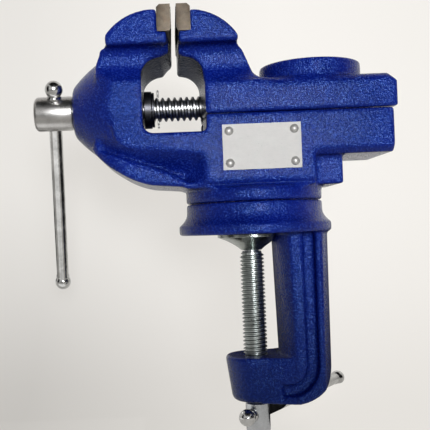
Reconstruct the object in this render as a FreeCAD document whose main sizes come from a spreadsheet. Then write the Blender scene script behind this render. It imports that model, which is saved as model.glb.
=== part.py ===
"""Clamp-on swivel table vise with a round anvil, as a parametric document.

Frame: millimetres, +Z up. The origin is where the swivel axis meets the underside of the base plate,
which is the face that rests on a table top. +X runs along the lead screw, from the fixed jaw towards the
anvil, and the nameplate faces -Y.
"""
import FreeCAD, Part
import math
import os
import Sketcher

V = FreeCAD.Vector

# The driving dimensions: name, value in millimetres or degrees, meaning.
SIZES = [
    # Base plate and swivel
    ("plate_radius", 37.6, "rim of the base plate"),
    ("plate_rim", 5.0, "height of that rim"),
    ("neck_radius", 33.5, "base neck and turret disc"),
    ("cone_top", 10.0, "where the hollow flare meets the neck"),
    ("flare_radius", 8.0, "curvature of that flare"),
    ("neck_top", 15.2, "top face of the base"),
    ("swivel_gap", 0.2, "between the base and the turret disc"),
    ("turret_top", 22.3, "top of the turret disc"),
    ("turret_edge", 1.6, "bevel round the top of the disc"),
    ("bolt_radius", 5.0, "shank of the pivot bolt"),
    ("bolt_head_radius", 8.5, "inscribed radius of its hexagon head"),
    ("bolt_head_height", 6.0, "height of that head"),
    ("bolt_sink", 1.2, "how far the head lies above the underside"),
    ("bolt_reach", 36.0, "top end of the pivot bolt"),
    ("washer_thickness", 1.5, "pivot washer"),
    ("washer_radius", 10.5, "pivot washer"),
    ("recess_radius", 11.5, "counterbore for the bolt head"),
    ("fit", 0.06, "radial play of a shaft in its bore"),
    ("seat", 0.1, "play of a piece in its seat"),
    ("air", 0.3, "gap between castings that slide"),
    # Clamp frame
    ("clamp_axis", -2.0, "X of the clamp screw"),
    ("column_inner_top", 8.2, "crest of the column's inner face at the plate"),
    ("column_inner_low", 10.3, "the same at the arm"),
    ("column_edge", 6.0, "how far its near edge lies behind that crest"),
    ("column_width", 39.0, "column, across"),
    ("column_crown", 36.0, "curvature of the column's faces"),
    ("column_outer", 29.4, "near edge of the outer face"),
    ("column_back", 35.5, "crest of the outer face"),
    ("column_taper", 0.6, "how far the outer face leans in at the arm"),
    ("corner_radius", 21.0, "outer corner under the column"),
    ("rib_inner", 20.6, "start of the side groove"),
    ("rib_outer", 26.4, "end of the side groove"),
    ("groove_depth", 5.0, "depth of the side groove"),
    ("groove_bend", 9.0, "inner bend of the side groove over the arm"),
    ("arm_flange", 9.5, "from the bottom of the arm to the side groove"),
    ("arm_top", -60.3, "top of the clamp boss"),
    ("arm_bottom", -82.7, "bottom of the arm"),
    ("boss_radius", 15.0, "clamp boss at its top"),
    ("boss_foot", 12.5, "clamp boss at its bottom"),
    ("boss_round", 3.0, "rounding of its bottom edge"),
    ("boss_lip", 1.2, "rounding of its top edge"),
    # Clamp screw, pad and handle
    ("clamp_radius", 6.0, "outside of the clamp screw's thread"),
    ("clamp_shoulder", -8.7, "top of the thread"),
    ("clamp_end", -99.5, "lower end of the clamp screw"),
    ("tip_neck", 3.6, "radius of the neck in the pad"),
    ("tip_head", 5.2, "radius of the upset head in the pad"),
    ("tip_height", 2.2, "height of that head"),
    ("tip_edge", 0.8, "height of its edge"),
    ("pad_radius", 16.7, "clamp pad"),
    ("pad_flat", 9.6, "from the clamp axis to the flat that runs along the column"),
    ("pad_rim", 1.4, "edge height of the pad"),
    ("pad_bottom", -8.3, "underside of the pad"),
    ("pad_foot", 4.9, "radius of the pad's underside"),
    ("pad_floor", 2.4, "thickness of the pad's floor"),
    ("pad_hollow", 12.0, "mouth of the pad's hollow"),
    ("pad_curve", 30.0, "hollow of the pad's underside"),
    ("clamp_bar_level", -90.0, "height of the clamp bar"),
    ("clamp_bar_radius", 3.0, "clamp bar"),
    ("clamp_bar_turn", 35.0, "angle of the clamp bar from +Y"),
    ("clamp_bar_near", 10.6, "from the clamp axis to the near ball"),
    ("clamp_bar_far", 99.0, "from the clamp axis to the far ball"),
    ("clamp_ball", 4.2, "ball ends of the clamp bar"),
    # Lead screw and handle
    ("lead_level", 63.4, "height of the lead screw"),
    ("lead_radius", 6.0, "outside of the lead screw's thread"),
    ("lead_end", 47.0, "hidden end of the lead screw"),
    ("boss_face", -87.5, "face of the lead screw's boss"),
    ("head_radius", 8.5, "head of the lead screw"),
    ("head_length", 19.2, "head of the lead screw"),
    ("head_bevel", 0.8, "bevel of that head"),
    ("bar_setback", 10.0, "from the boss face to the lead bar"),
    ("lead_bar_radius", 3.25, "lead bar"),
    ("lead_bar_lean", 34.0, "angle of the lead bar from the vertical"),
    ("lead_bar_slant", 5.0, "angle of the lead bar from square across the lead screw"),
    ("lead_bar_above", 13.2, "from the lead screw to the upper ball"),
    ("lead_bar_below", 106.0, "from the lead screw to the lower ball"),
    ("lead_ball", 4.4, "ball ends of the lead bar"),
    ("ball_socket", 2.6, "how far a bar enters its ball"),
    ("thick_washer", 3.8, "first washer inside the arch"),
    ("thick_washer_radius", 9.2, "first washer inside the arch"),
    ("thin_washer", 1.1, "second washer inside the arch"),
    ("thin_washer_radius", 8.6, "second washer inside the arch"),
    ("pin_radius", 1.1, "split pin"),
    ("pin_eye", 1.8, "eye of the split pin"),
    ("pin_reach", 9.4, "split pin, each way from the lead screw"),
    # Castings
    ("half_width", 27.0, "half the width of the castings"),
    ("jaw_half", 30.0, "half the width of the jaws"),
    ("neck_half", 20.5, "half the width of the neck below a jaw"),
    ("jaw_underside", 90.0, "underside of the jaw's overhang"),
    ("neck_drop", 5.0, "from that underside down to the neck's flat"),
    ("neck_flat", 5.8, "height of the neck's flat"),
    ("neck_foot", 71.4, "where the neck meets the side faces"),
    ("fixed_neck_rise", 2.2, "how much higher the slope of the fixed jaw's neck lies"),
    ("parting", 56.8, "top of the rail"),
    ("block_top", 73.3, "top of the sliding block"),
    ("block_bevel", 4.3, "rounding along the top of the block"),
    ("block_round", 5.4, "curvature of that rounding"),
    ("rail_bottom", 36.0, "underside of the rail"),
    ("rail_bevel", 2.9, "bevel along the underside of the rail"),
    ("rail_end", 64.5, "right end of the rail"),
    ("block_end", 66.4, "right end of the sliding block"),
    ("block_end_bevel", 3.2, "bevel of the block's top at its right end"),
    ("body_left", -24.4, "left side of the pedestal"),
    ("body_right", 27.4, "right side of the pedestal's face"),
    ("step_right", 41.0, "right side of the set-back pedestal"),
    ("step_half", 20.0, "half the width of the set-back pedestal"),
    ("body_notch", 2.2, "notch between the pedestal and the turret disc"),
    ("web_half", 17.5, "half the thickness of the web under the arch"),
    ("flange_half", 24.5, "half the width of the bottom flange"),
    ("flange_reach", 9.5, "from the jaw's end to the left end of the flange"),
    ("flange_left", 43.6, "height of that end"),
    ("flange_tip", 12.0, "half the width of that end"),
    ("flange_round", 24.0, "curvature of the flange in plan"),
    ("flange_knee", 3.8, "from the jaw's end to the first bend of the flange"),
    ("flange_bend", 31.2, "height of the flange's underside below the boss"),
    ("flange_low", 24.4, "the same nearer the turret"),
    ("flange_top", 36.4, "upper side of the flange below the boss"),
    ("flange_top_low", 31.5, "the same nearer the turret"),
    ("shoulder_drop", 9.0, "height of the slope between the wall and the web"),
    ("dome_radius", 27.0, "widest radius of the screw boss"),
    ("dome_tip", 10.2, "flat face of the screw boss"),
    ("dome_end", -69.0, "where the screw boss is widest"),
    ("dome_curve", 60.0, "curvature of the screw boss"),
    ("dome_edge", 3.6, "rounding of its face"),
    ("boss_narrow", 20.5, "half the width of the wall's left end"),
    ("boss_round_plan", 26.0, "curvature of the wall's left end in plan"),
    ("wall_below", 7.5, "thickness of the wall under the arch"),
    ("wall_corner", 11.0, "lower left corner of that wall"),
    ("flange_curve", 42.0, "curvature of the bottom flange"),
    # Arch
    ("arch_left", -53.0, "left wall of the arch"),
    ("arch_right", -23.0, "right wall of the arch at the side faces"),
    ("arch_right_mid", -25.1, "the same at the middle"),
    ("arch_bottom", 48.9, "floor of the arch"),
    ("arch_spring", 82.5, "where its curve starts"),
    ("arch_curve", 8.0, "curvature there"),
    ("arch_flat", 7.0, "half the width of its ceiling"),
    ("arch_rise", 1.0, "how much higher the middle of that ceiling is"),
    ("arch_peak_mid", 79.3, "ceiling of the arch at the middle"),
    ("arch_spring_mid", 72.0, "where its curve starts at the middle"),
    ("arch_curve_mid", 10.0, "curvature there"),
    ("arch_flat_mid", 4.0, "half the width of that ceiling"),
    ("arch_rise_mid", 4.7, "how much higher the middle of that ceiling is"),
    ("arch_corner", 4.7, "lower left corner of the arch"),
    ("arch_toe", 1.5, "lower right corner of the arch"),
    # Jaws and plates
    ("jaw_back", -44.7, "seat of the fixed jaw plate"),
    ("plate_thickness", 6.8, "jaw plates"),
    ("plate_lift", 5.2, "from the jaws' underside up to their plates"),
    ("plate_height", 12.6, "jaw plates"),
    ("jaw_gap", 2.1, "between the jaw plates at rest"),
    ("plate_bevel", 0.7, "bevel of the jaw plates"),
    ("fixed_mouth", 0.2, "how far the fixed jaw stands back from its grip face at the middle"),
    ("slide_mouth", 0.1, "the same on the sliding jaw"),
    ("fixed_draft", 2.5, "how much further it stands back at the side faces"),
    ("slide_draft", 1.2, "the same on the sliding jaw"),
    ("jaw_curve", 27.5, "curvature of the jaws"),
    ("jaw_length", 24.3, "from the plate's seat to the end of the jaw"),
    ("crown_rise", 15.8, "from the jaws' underside to their top"),
    ("toe_rise", 4.3, "from the jaws' underside to the top of the jaw's end"),
    ("right_jaw_length", 22.0, "the sliding jaw, from its seat to its end"),
    ("heel_curve", 6.0, "hollow between the sliding jaw and its block"),
    ("jaw_edge", 0.9, "bevel along the lower edge of the jaws"),
    ("jaw_root", 6.0, "how far the jaws reach into the castings below"),
    ("neck_curve", 24.0, "hollow at the foot of the neck"),
    ("undercut", 4.0, "width of the hollow under the overhang"),
    ("undercut_curve", 5.5, "curvature of that hollow"),
    ("screw_spread", 17.0, "jaw screws, each way from the middle"),
    ("screw_lift", 5.0, "from the plates' lower edge up to the jaw screws"),
    ("screw_radius", 2.0, "shank of the jaw screws"),
    ("screw_head", 3.6, "head of the jaw screws"),
    ("screw_depth", 5.0, "how far the jaw screws enter the jaw"),
    ("screw_sink", 1.0, "how far a screw head lies below the grip face"),
    ("head_thickness", 3.2, "height of that head"),
    ("hex_socket", 2.0, "radius of the socket in that head"),
    # Anvil
    ("anvil_axis", 30.3, "X of the anvil"),
    ("anvil_radius", 24.8, "anvil"),
    ("anvil_top", 82.0, "face of the anvil"),
    ("anvil_round", 0.9, "rounding of its edge"),
    ("anvil_foot", 2.2, "width of the fillet at its foot"),
    ("anvil_foot_curve", 4.2, "curvature of that fillet"),
    # Slide
    ("slot_half", 9.8, "half the width of the slot in the rail"),
    ("slot_floor", 49.2, "where the slot widens"),
    ("keel_lift", 0.2, "gap between the retaining strip and the rail"),
    ("chamber_half", 14.0, "half the width of the chamber below the slot"),
    ("chamber_floor", 41.0, "floor of that chamber"),
    ("chamber_start", -12.0, "left end of that chamber"),
    ("keel_start", 0.0, "left end of the keel"),
    ("keel_length", 30.0, "keel"),
    ("keel_play", 0.3, "play of the keel in the slot"),
    ("strip_height", 4.5, "retaining strip"),
    ("nut_start", -19.8, "left end of the lead nut"),
    ("nut_length", 15.6, "lead nut"),
    ("nut_top", 71.0, "top of the lead nut"),
    ("nut_bottom", 50.4, "bottom of the lead nut"),
    ("tunnel_half", 6.6, "half the width of the tunnel for the lead screw"),
    ("tunnel_end", 55.0, "closed end of that tunnel"),
    ("strip_screw_radius", 2.0, "screws of the retaining strip"),
    ("strip_screw_head", 3.4, "their heads"),
    ("strip_screw_depth", 7.0, "how far they enter the keel"),
    ("strip_head_height", 2.2, "height of their heads"),
    # Nameplate
    ("badge_x", 2.1, "middle of the nameplate"),
    ("badge_level", 40.65, "middle of the nameplate"),
    ("badge_length", 36.6, "nameplate"),
    ("badge_height", 21.2, "nameplate"),
    ("badge_thickness", 0.8, "nameplate"),
    ("rivet_inset", 3.1, "rivets from the plate's edges"),
    ("rivet_radius", 2.1, "rivet heads"),
    ("rivet_height", 1.2, "rivet heads"),
    ("rivet_shank", 1.2, "radius of the rivets"),
    ("rivet_depth", 3.5, "how far the rivets enter the casting"),
]

doc = FreeCAD.newDocument("SwivelVise")
sheet = doc.addObject("Spreadsheet::Sheet", "Sizes")


class Size:
    """A size that knows its value now and the expression over the sheet that it comes from."""

    def __init__(self, text, value):
        self.text = text
        self.value = value

    @staticmethod
    def of(other):
        if isinstance(other, Size):
            return other
        return Size("%g" % other, float(other))

    def joined(self, sign, other, value):
        return Size("(%s %s %s)" % (self.text, sign, other.text), value)

    def __add__(self, other):
        other = Size.of(other)
        return self.joined("+", other, self.value + other.value)

    def __sub__(self, other):
        other = Size.of(other)
        return self.joined("-", other, self.value - other.value)

    def __mul__(self, other):
        other = Size.of(other)
        return self.joined("*", other, self.value * other.value)

    def __truediv__(self, other):
        other = Size.of(other)
        return self.joined("/", other, self.value / other.value)

    def __neg__(self):
        return Size("(0 - %s)" % self.text, -self.value)

    def __rsub__(self, other):
        return Size.of(other) - self


class Sheet:
    """The driving dimensions as attributes: S.plate_radius and so on."""


S = Sheet()
for row, (alias, number, meaning) in enumerate(SIZES, start=1):
    sheet.set("A%d" % row, alias.replace("_", " "))
    sheet.set("B%d" % row, "%g" % number)
    sheet.setAlias("B%d" % row, alias)
    sheet.set("C%d" % row, meaning)
    setattr(S, alias, Size("Sizes.%s" % alias, number))
doc.recompute()

# Heights that go along with the underside of the jaws.
S.neck_high = S.jaw_underside - S.neck_drop
S.neck_low = S.neck_high - S.neck_flat
S.arch_peak = S.jaw_underside - S.arch_rise
S.plate_bottom = S.jaw_underside + S.plate_lift
S.plate_top = S.plate_bottom + S.plate_height
S.jaw_crown = S.jaw_underside + S.crown_rise
S.jaw_toe = S.jaw_underside + S.toe_rise
S.screw_level = S.plate_bottom + S.screw_lift


# ---------------------------------------------------------------------------------------------------
# Helpers
# ---------------------------------------------------------------------------------------------------
NODES = []


def bind(item, prop, size):
    """Tie a property of an object to the sheet."""
    size = Size.of(size)
    item.setExpression(prop, size.text)


def new_body(label):
    """A PartDesign body that is one sub-part."""
    body = doc.addObject("PartDesign::Body", label)
    body.Label = label
    NODES.append(body)
    return body


def origin_plane(body, role):
    """The plane of a body's own origin with the given role."""
    for item in body.Origin.OriginFeatures:
        if item.Role == role:
            return item
    raise ValueError(role)


def arc_between(start, end, radius):
    """The shorter arc between two points, bulging to the right of the way for a positive radius."""
    middle = (start + end) * 0.5
    chord = end - start
    right = V(chord.y, -chord.x, 0).normalize()
    sign = 1.0 if radius > 0 else -1.0
    drop = math.sqrt(max(radius ** 2 - (chord.Length / 2) ** 2, 0.0))
    centre = middle - right * sign * drop
    first, last = (start, end) if radius > 0 else (end, start)
    low = math.atan2(first.y - centre.y, first.x - centre.x)
    high = math.atan2(last.y - centre.y, last.x - centre.x)
    if high < low:
        high += 2 * math.pi
    return Part.ArcOfCircle(Part.Circle(centre, V(0, 0, 1), abs(radius)), low, high)


def new_sketch(body, name, role, offset=None):
    """An empty sketch on one of a body's origin planes, moved along the plane's normal."""
    sketch = body.newObject("Sketcher::SketchObject", name)
    sketch.AttachmentSupport = [(origin_plane(body, role), "")]
    sketch.MapMode = "FlatFace"
    if offset is not None:
        bind(sketch, ".AttachmentOffset.Base.z", offset)
    return sketch


def tie(sketch, kind, index, point, size):
    """Tie a point's place, or a radius where no point is given, to the sheet."""
    size = Size.of(size)
    if point is None:
        constraint = Sketcher.Constraint(kind, index, size.value)
    else:
        constraint = Sketcher.Constraint(kind, -1, 1, index, point, size.value)
    number = sketch.addConstraint(constraint)
    sketch.setExpression("Constraints[%d]" % number, size.text)


def add_outline(sketch, corners):
    """Draw a closed outline. A corner is (x, y), or (x, y, radius) where an arc leaves it.

    Walked counter-clockwise, a positive radius bulges outwards and a negative one inwards.
    """
    first = sketch.GeometryCount
    count = len(corners)
    points = [V(Size.of(c[0]).value, Size.of(c[1]).value, 0) for c in corners]
    ends = []
    for i, corner in enumerate(corners):
        end = points[(i + 1) % count]
        radius = Size.of(corner[2]).value if len(corner) == 3 else 0.0
        if radius:
            sketch.addGeometry(arc_between(points[i], end, radius), False)
        else:
            sketch.addGeometry(Part.LineSegment(points[i], end), False)
        ends.append((2, 1) if radius < 0 else (1, 2))
    for i in range(count):
        after = (i + 1) % count
        joint = Sketcher.Constraint("Coincident", first + i, ends[i][1], first + after, ends[after][0])
        sketch.addConstraint(joint)
    for i, corner in enumerate(corners):
        tie(sketch, "DistanceX", first + i, ends[i][0], corner[0])
        tie(sketch, "DistanceY", first + i, ends[i][0], corner[1])
        if len(corner) == 3:
            radius = Size.of(corner[2])
            tie(sketch, "Radius", first + i, None, radius if radius.value > 0 else -radius)


def add_circle(sketch, x, y, radius):
    """Draw a circle tied to the sheet."""
    centre = V(Size.of(x).value, Size.of(y).value, 0)
    circle = Part.Circle(centre, V(0, 0, 1), Size.of(radius).value)
    index = sketch.addGeometry(circle, False)
    tie(sketch, "DistanceX", index, 3, x)
    tie(sketch, "DistanceY", index, 3, y)
    tie(sketch, "Radius", index, None, radius)


def both_sides(half):
    """Close an outline from its half at positive x: the mirrored half follows, the other way round."""
    corners = list(half)
    for i in range(len(half) - 1, -1, -1):
        corner = (-half[i][0], half[i][1])
        if i > 0 and len(half[i - 1]) == 3:
            corner += (half[i - 1][2],)
        corners.append(corner)
    return corners


def extrude(body, name, kind, sketch, length, middle=False, back=False):
    """A Pad or a Pocket of a sketch."""
    feature = body.newObject("PartDesign::" + kind, name)
    feature.Profile = sketch
    feature.Midplane = middle
    feature.Reversed = back
    bind(feature, "Length", length)
    doc.recompute()
    return feature


def turn(body, name, kind, sketch, axis="V_Axis"):
    """A Revolution or a Groove of a sketch about one of its own axes."""
    feature = body.newObject("PartDesign::" + kind, name)
    feature.Profile = sketch
    feature.ReferenceAxis = (sketch, [axis])
    feature.Angle = 360.0
    doc.recompute()
    return feature


def trim(body, name, role, corners, reach):
    """Cut away everything outside an outline, seen along the plane's normal."""
    sketch = new_sketch(body, name + "_outline", role)
    far = 400.0
    add_outline(sketch, corners)
    add_outline(sketch, [(-far, -far), (far, -far), (far, far), (-far, far)])
    extrude(body, name, "Pocket", sketch, reach, middle=True)


def part_object(kind, name, **sizes):
    """A Part primitive whose sizes are tied to the sheet."""
    item = doc.addObject("Part::" + kind, name)
    for prop, size in sizes.items():
        bind(item, prop, size)
    return item


def place(item, x=0.0, y=0.0, z=0.0, rotation=None):
    """Put an object where three sizes say, turned by a rotation."""
    if rotation is not None:
        item.Placement = FreeCAD.Placement(V(0, 0, 0), rotation)
    for axis, size in (("x", x), ("y", y), ("z", z)):
        bind(item, ".Placement.Base." + axis, size)
    return item


def cut(name, base, tool):
    """One Part object minus another."""
    item = doc.addObject("Part::Cut", name)
    item.Base = base
    item.Tool = tool
    return item


def node(item, label):
    """Make a Part object a sub-part."""
    item.Label = label
    NODES.append(item)
    return item


# ---------------------------------------------------------------------------------------------------
# Clamp frame: round base plate, column with side grooves, arm and boss
# ---------------------------------------------------------------------------------------------------


def clamp_frame():
    body = new_body("clamp_frame")
    half = S.column_width / 2

    # The column stands under the plate; its inner and outer faces are crowned.
    def section(name, crest, taper, offset):
        sketch = new_sketch(body, name, "XY_Plane", offset)
        edge = crest + S.column_edge
        outer = S.column_outer - taper
        add_outline(sketch, [
            (edge, half, S.column_crown), (crest, 0, S.column_crown), (edge, -half),
            (outer, -half, S.column_crown), (S.column_back - taper, 0, S.column_crown), (outer, half),
        ])
        return sketch

    column = body.newObject("PartDesign::AdditiveLoft", "column")
    column.Profile = section("column_top", S.column_inner_top, 0, S.plate_rim / 2)
    column.Sections = [section("column_low", S.column_inner_low, S.column_taper, S.arm_bottom)]
    column.Ruled = True
    doc.recompute()

    # The arm widens from the boss to the column.
    sketch = new_sketch(body, "arm_plan", "XY_Plane", S.arm_bottom)
    start = S.clamp_axis
    wide = S.column_inner_low + S.column_edge + 2
    outer = S.column_outer - S.column_taper
    add_outline(sketch, [
        (start, -S.boss_foot), (wide, -half), (outer, -half), (outer, half), (wide, half), (start, S.boss_foot),
    ])
    extrude(body, "arm", "Pad", sketch, S.arm_top - S.arm_bottom)

    # Outer corner, seen from the side.
    low = S.arm_bottom
    back = S.column_back - S.column_taper
    trim(body, "corner", "XZ_Plane", [
        (start - S.boss_radius, S.plate_rim), (start - S.boss_radius, low),
        (back - S.corner_radius, low, S.corner_radius), (back, low + S.corner_radius),
        (S.column_back, S.plate_rim),
    ], S.column_width * 2)

    # Side grooves follow the column and turn under the arm.
    inner = S.rib_inner
    outer = S.rib_outer
    bend_in = S.groove_bend
    bend_out = bend_in + (outer - inner)
    floor_in = S.arm_bottom + S.arm_flange
    floor_out = floor_in - (outer - inner)
    groove = [
        (inner, 0), (inner, floor_in + bend_in, -bend_in),
        (inner - bend_in, floor_in), (S.clamp_axis + S.boss_foot - 2, floor_in),
        (S.clamp_axis + S.boss_foot - 2, floor_out), (outer - bend_out, floor_out, bend_out),
        (outer, floor_out + bend_out), (outer, 0),
    ]
    for name, side in (("near_groove", 1), ("far_groove", -1)):
        sketch = new_sketch(body, name + "_outline", "XZ_Plane", half * side)
        add_outline(sketch, groove)
        extrude(body, name, "Pocket", sketch, S.groove_depth, back=(side < 0))

    # Boss for the clamp screw.
    sketch = new_sketch(body, "boss_profile", "XZ_Plane")
    drop = S.arm_bottom
    axis = S.clamp_axis
    add_outline(sketch, [
        (axis, S.arm_top), (axis - S.boss_radius + S.boss_lip, S.arm_top, S.boss_lip),
        (axis - S.boss_radius, S.arm_top - S.boss_lip), (axis - S.boss_foot, drop + S.boss_round, S.boss_round),
        (axis - S.boss_foot + S.boss_round, drop), (axis, drop),
    ])
    boss = body.newObject("PartDesign::Revolution", "boss")
    boss.Profile = sketch
    boss.ReferenceAxis = (sketch, ["Edge%d" % 6])
    boss.Angle = 360.0
    doc.recompute()

    # Base plate, flare and neck.
    sketch = new_sketch(body, "plate_profile", "XZ_Plane")
    add_outline(sketch, [
        (Size.of(0), Size.of(0)), (S.plate_radius - 0.6, Size.of(0)), (S.plate_radius, Size.of(0.6)),
        (S.plate_radius, S.plate_rim - 0.6), (S.plate_radius - 0.6, S.plate_rim, -S.flare_radius),
        (S.neck_radius, S.cone_top), (S.neck_radius, S.neck_top), (Size.of(0), S.neck_top),
    ])
    turn(body, "plate", "Revolution", sketch)

    # Bores: pivot bolt with its counterbore, and clamp screw.
    sketch = new_sketch(body, "pivot_bore_circle", "XY_Plane")
    add_circle(sketch, 0, 0, S.bolt_radius + S.fit)
    extrude(body, "pivot_bore", "Pocket", sketch, S.neck_top + 1, back=True)
    sketch = new_sketch(body, "recess_circle", "XY_Plane")
    add_circle(sketch, 0, 0, S.recess_radius)
    depth = S.bolt_sink + S.bolt_head_height + S.washer_thickness + S.seat
    extrude(body, "recess", "Pocket", sketch, depth, back=True)
    sketch = new_sketch(body, "screw_bore_circle", "XY_Plane", S.arm_top + 1)
    add_circle(sketch, S.clamp_axis, 0, S.clamp_radius + S.fit)
    extrude(body, "screw_bore", "Pocket", sketch, S.arm_top - S.arm_bottom + 2)
    return body


# ---------------------------------------------------------------------------------------------------
# Features that both castings of the vise share
# ---------------------------------------------------------------------------------------------------


def arch_outline(sketch, middle):
    """The opening under the jaws, at a side face or at the mid-plane."""
    left = S.arch_left
    right = S.arch_right_mid if middle else S.arch_right
    spring = S.arch_spring_mid if middle else S.arch_spring
    peak = S.arch_peak_mid if middle else S.arch_peak
    curve = S.arch_curve_mid if middle else S.arch_curve
    flat = S.arch_flat_mid if middle else S.arch_flat
    rise = S.arch_rise_mid if middle else S.arch_rise
    centre = (left + right) / 2
    add_outline(sketch, [
        (left + S.arch_corner, S.arch_bottom), (right - S.arch_toe, S.arch_bottom, S.arch_toe),
        (right, S.arch_bottom + S.arch_toe), (right, spring, curve),
        (centre + flat, peak), (centre, peak + rise), (centre - flat, peak, curve),
        (left, spring), (left, S.arch_bottom + S.arch_corner, S.arch_corner),
    ])


def cut_arch(body):
    """Cut the opening, which narrows from both side faces to the mid-plane."""
    faces = []
    for name, offset, middle in (
            ("arch_near", S.jaw_half + 1, False), ("arch_middle", None, True),
            ("arch_far", -(S.jaw_half + 1), False)):
        sketch = new_sketch(body, name, "XZ_Plane", offset)
        arch_outline(sketch, middle)
        faces.append(sketch)
    arch = body.newObject("PartDesign::SubtractiveLoft", "arch")
    arch.Profile = faces[0]
    arch.Sections = faces[1:]
    arch.Ruled = True
    doc.recompute()


def jaw_section(body, name, start, end, rise):
    """The jaw seen along the lead screw: a wide head, an undercut and a waisted neck."""
    sketch = new_sketch(body, name + "_section", "YZ_Plane", start)
    add_outline(sketch, both_sides([
        (S.half_width, S.neck_foot - S.jaw_root), (S.half_width, S.neck_foot + rise, -S.neck_curve),
        (S.neck_half, S.neck_low + rise), (S.neck_half, S.neck_high, -S.undercut_curve),
        (S.neck_half + S.undercut, S.jaw_underside), (S.jaw_half - S.jaw_edge, S.jaw_underside),
        (S.jaw_half, S.jaw_underside + S.jaw_edge), (S.jaw_half, S.jaw_crown + 1),
    ]))
    extrude(body, name, "Pad", sketch, end - start)


def cut_mouth(body, name, middle, draft, side):
    """Draft the face below a jaw plate: the castings stand further apart at the side faces."""
    near = middle + draft * side
    sketch = new_sketch(body, name, "XY_Plane", S.arch_spring_mid)
    wide = S.jaw_half + 1
    beyond = middle - draft * side
    corners = [(beyond, -wide), (near, -wide), (middle, 0), (near, wide), (beyond, wide)]
    if side > 0:
        add_outline(sketch, corners)
    else:
        add_outline(sketch, corners[::-1])
    extrude(body, name + "_cut", "Pocket", sketch, S.plate_top, back=True)


def cut_screw_holes(body, name, seat, back):
    """Two holes behind a jaw plate."""
    sketch = new_sketch(body, name, "YZ_Plane", seat)
    for side in (-1, 1):
        add_circle(sketch, S.screw_spread * side, S.screw_level, S.screw_radius + S.seat)
    extrude(body, name + "_cut", "Pocket", sketch, S.screw_depth + S.seat * 2, back=back)


GRIP_LEFT = S.jaw_back + S.plate_thickness
GRIP_RIGHT = GRIP_LEFT + S.jaw_gap
SEAT_RIGHT = GRIP_RIGHT + S.plate_thickness

# ---------------------------------------------------------------------------------------------------
# Vise body casting: fixed jaw, screw boss, wall under the arch, rail, pedestal and turret disc
# ---------------------------------------------------------------------------------------------------


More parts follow.
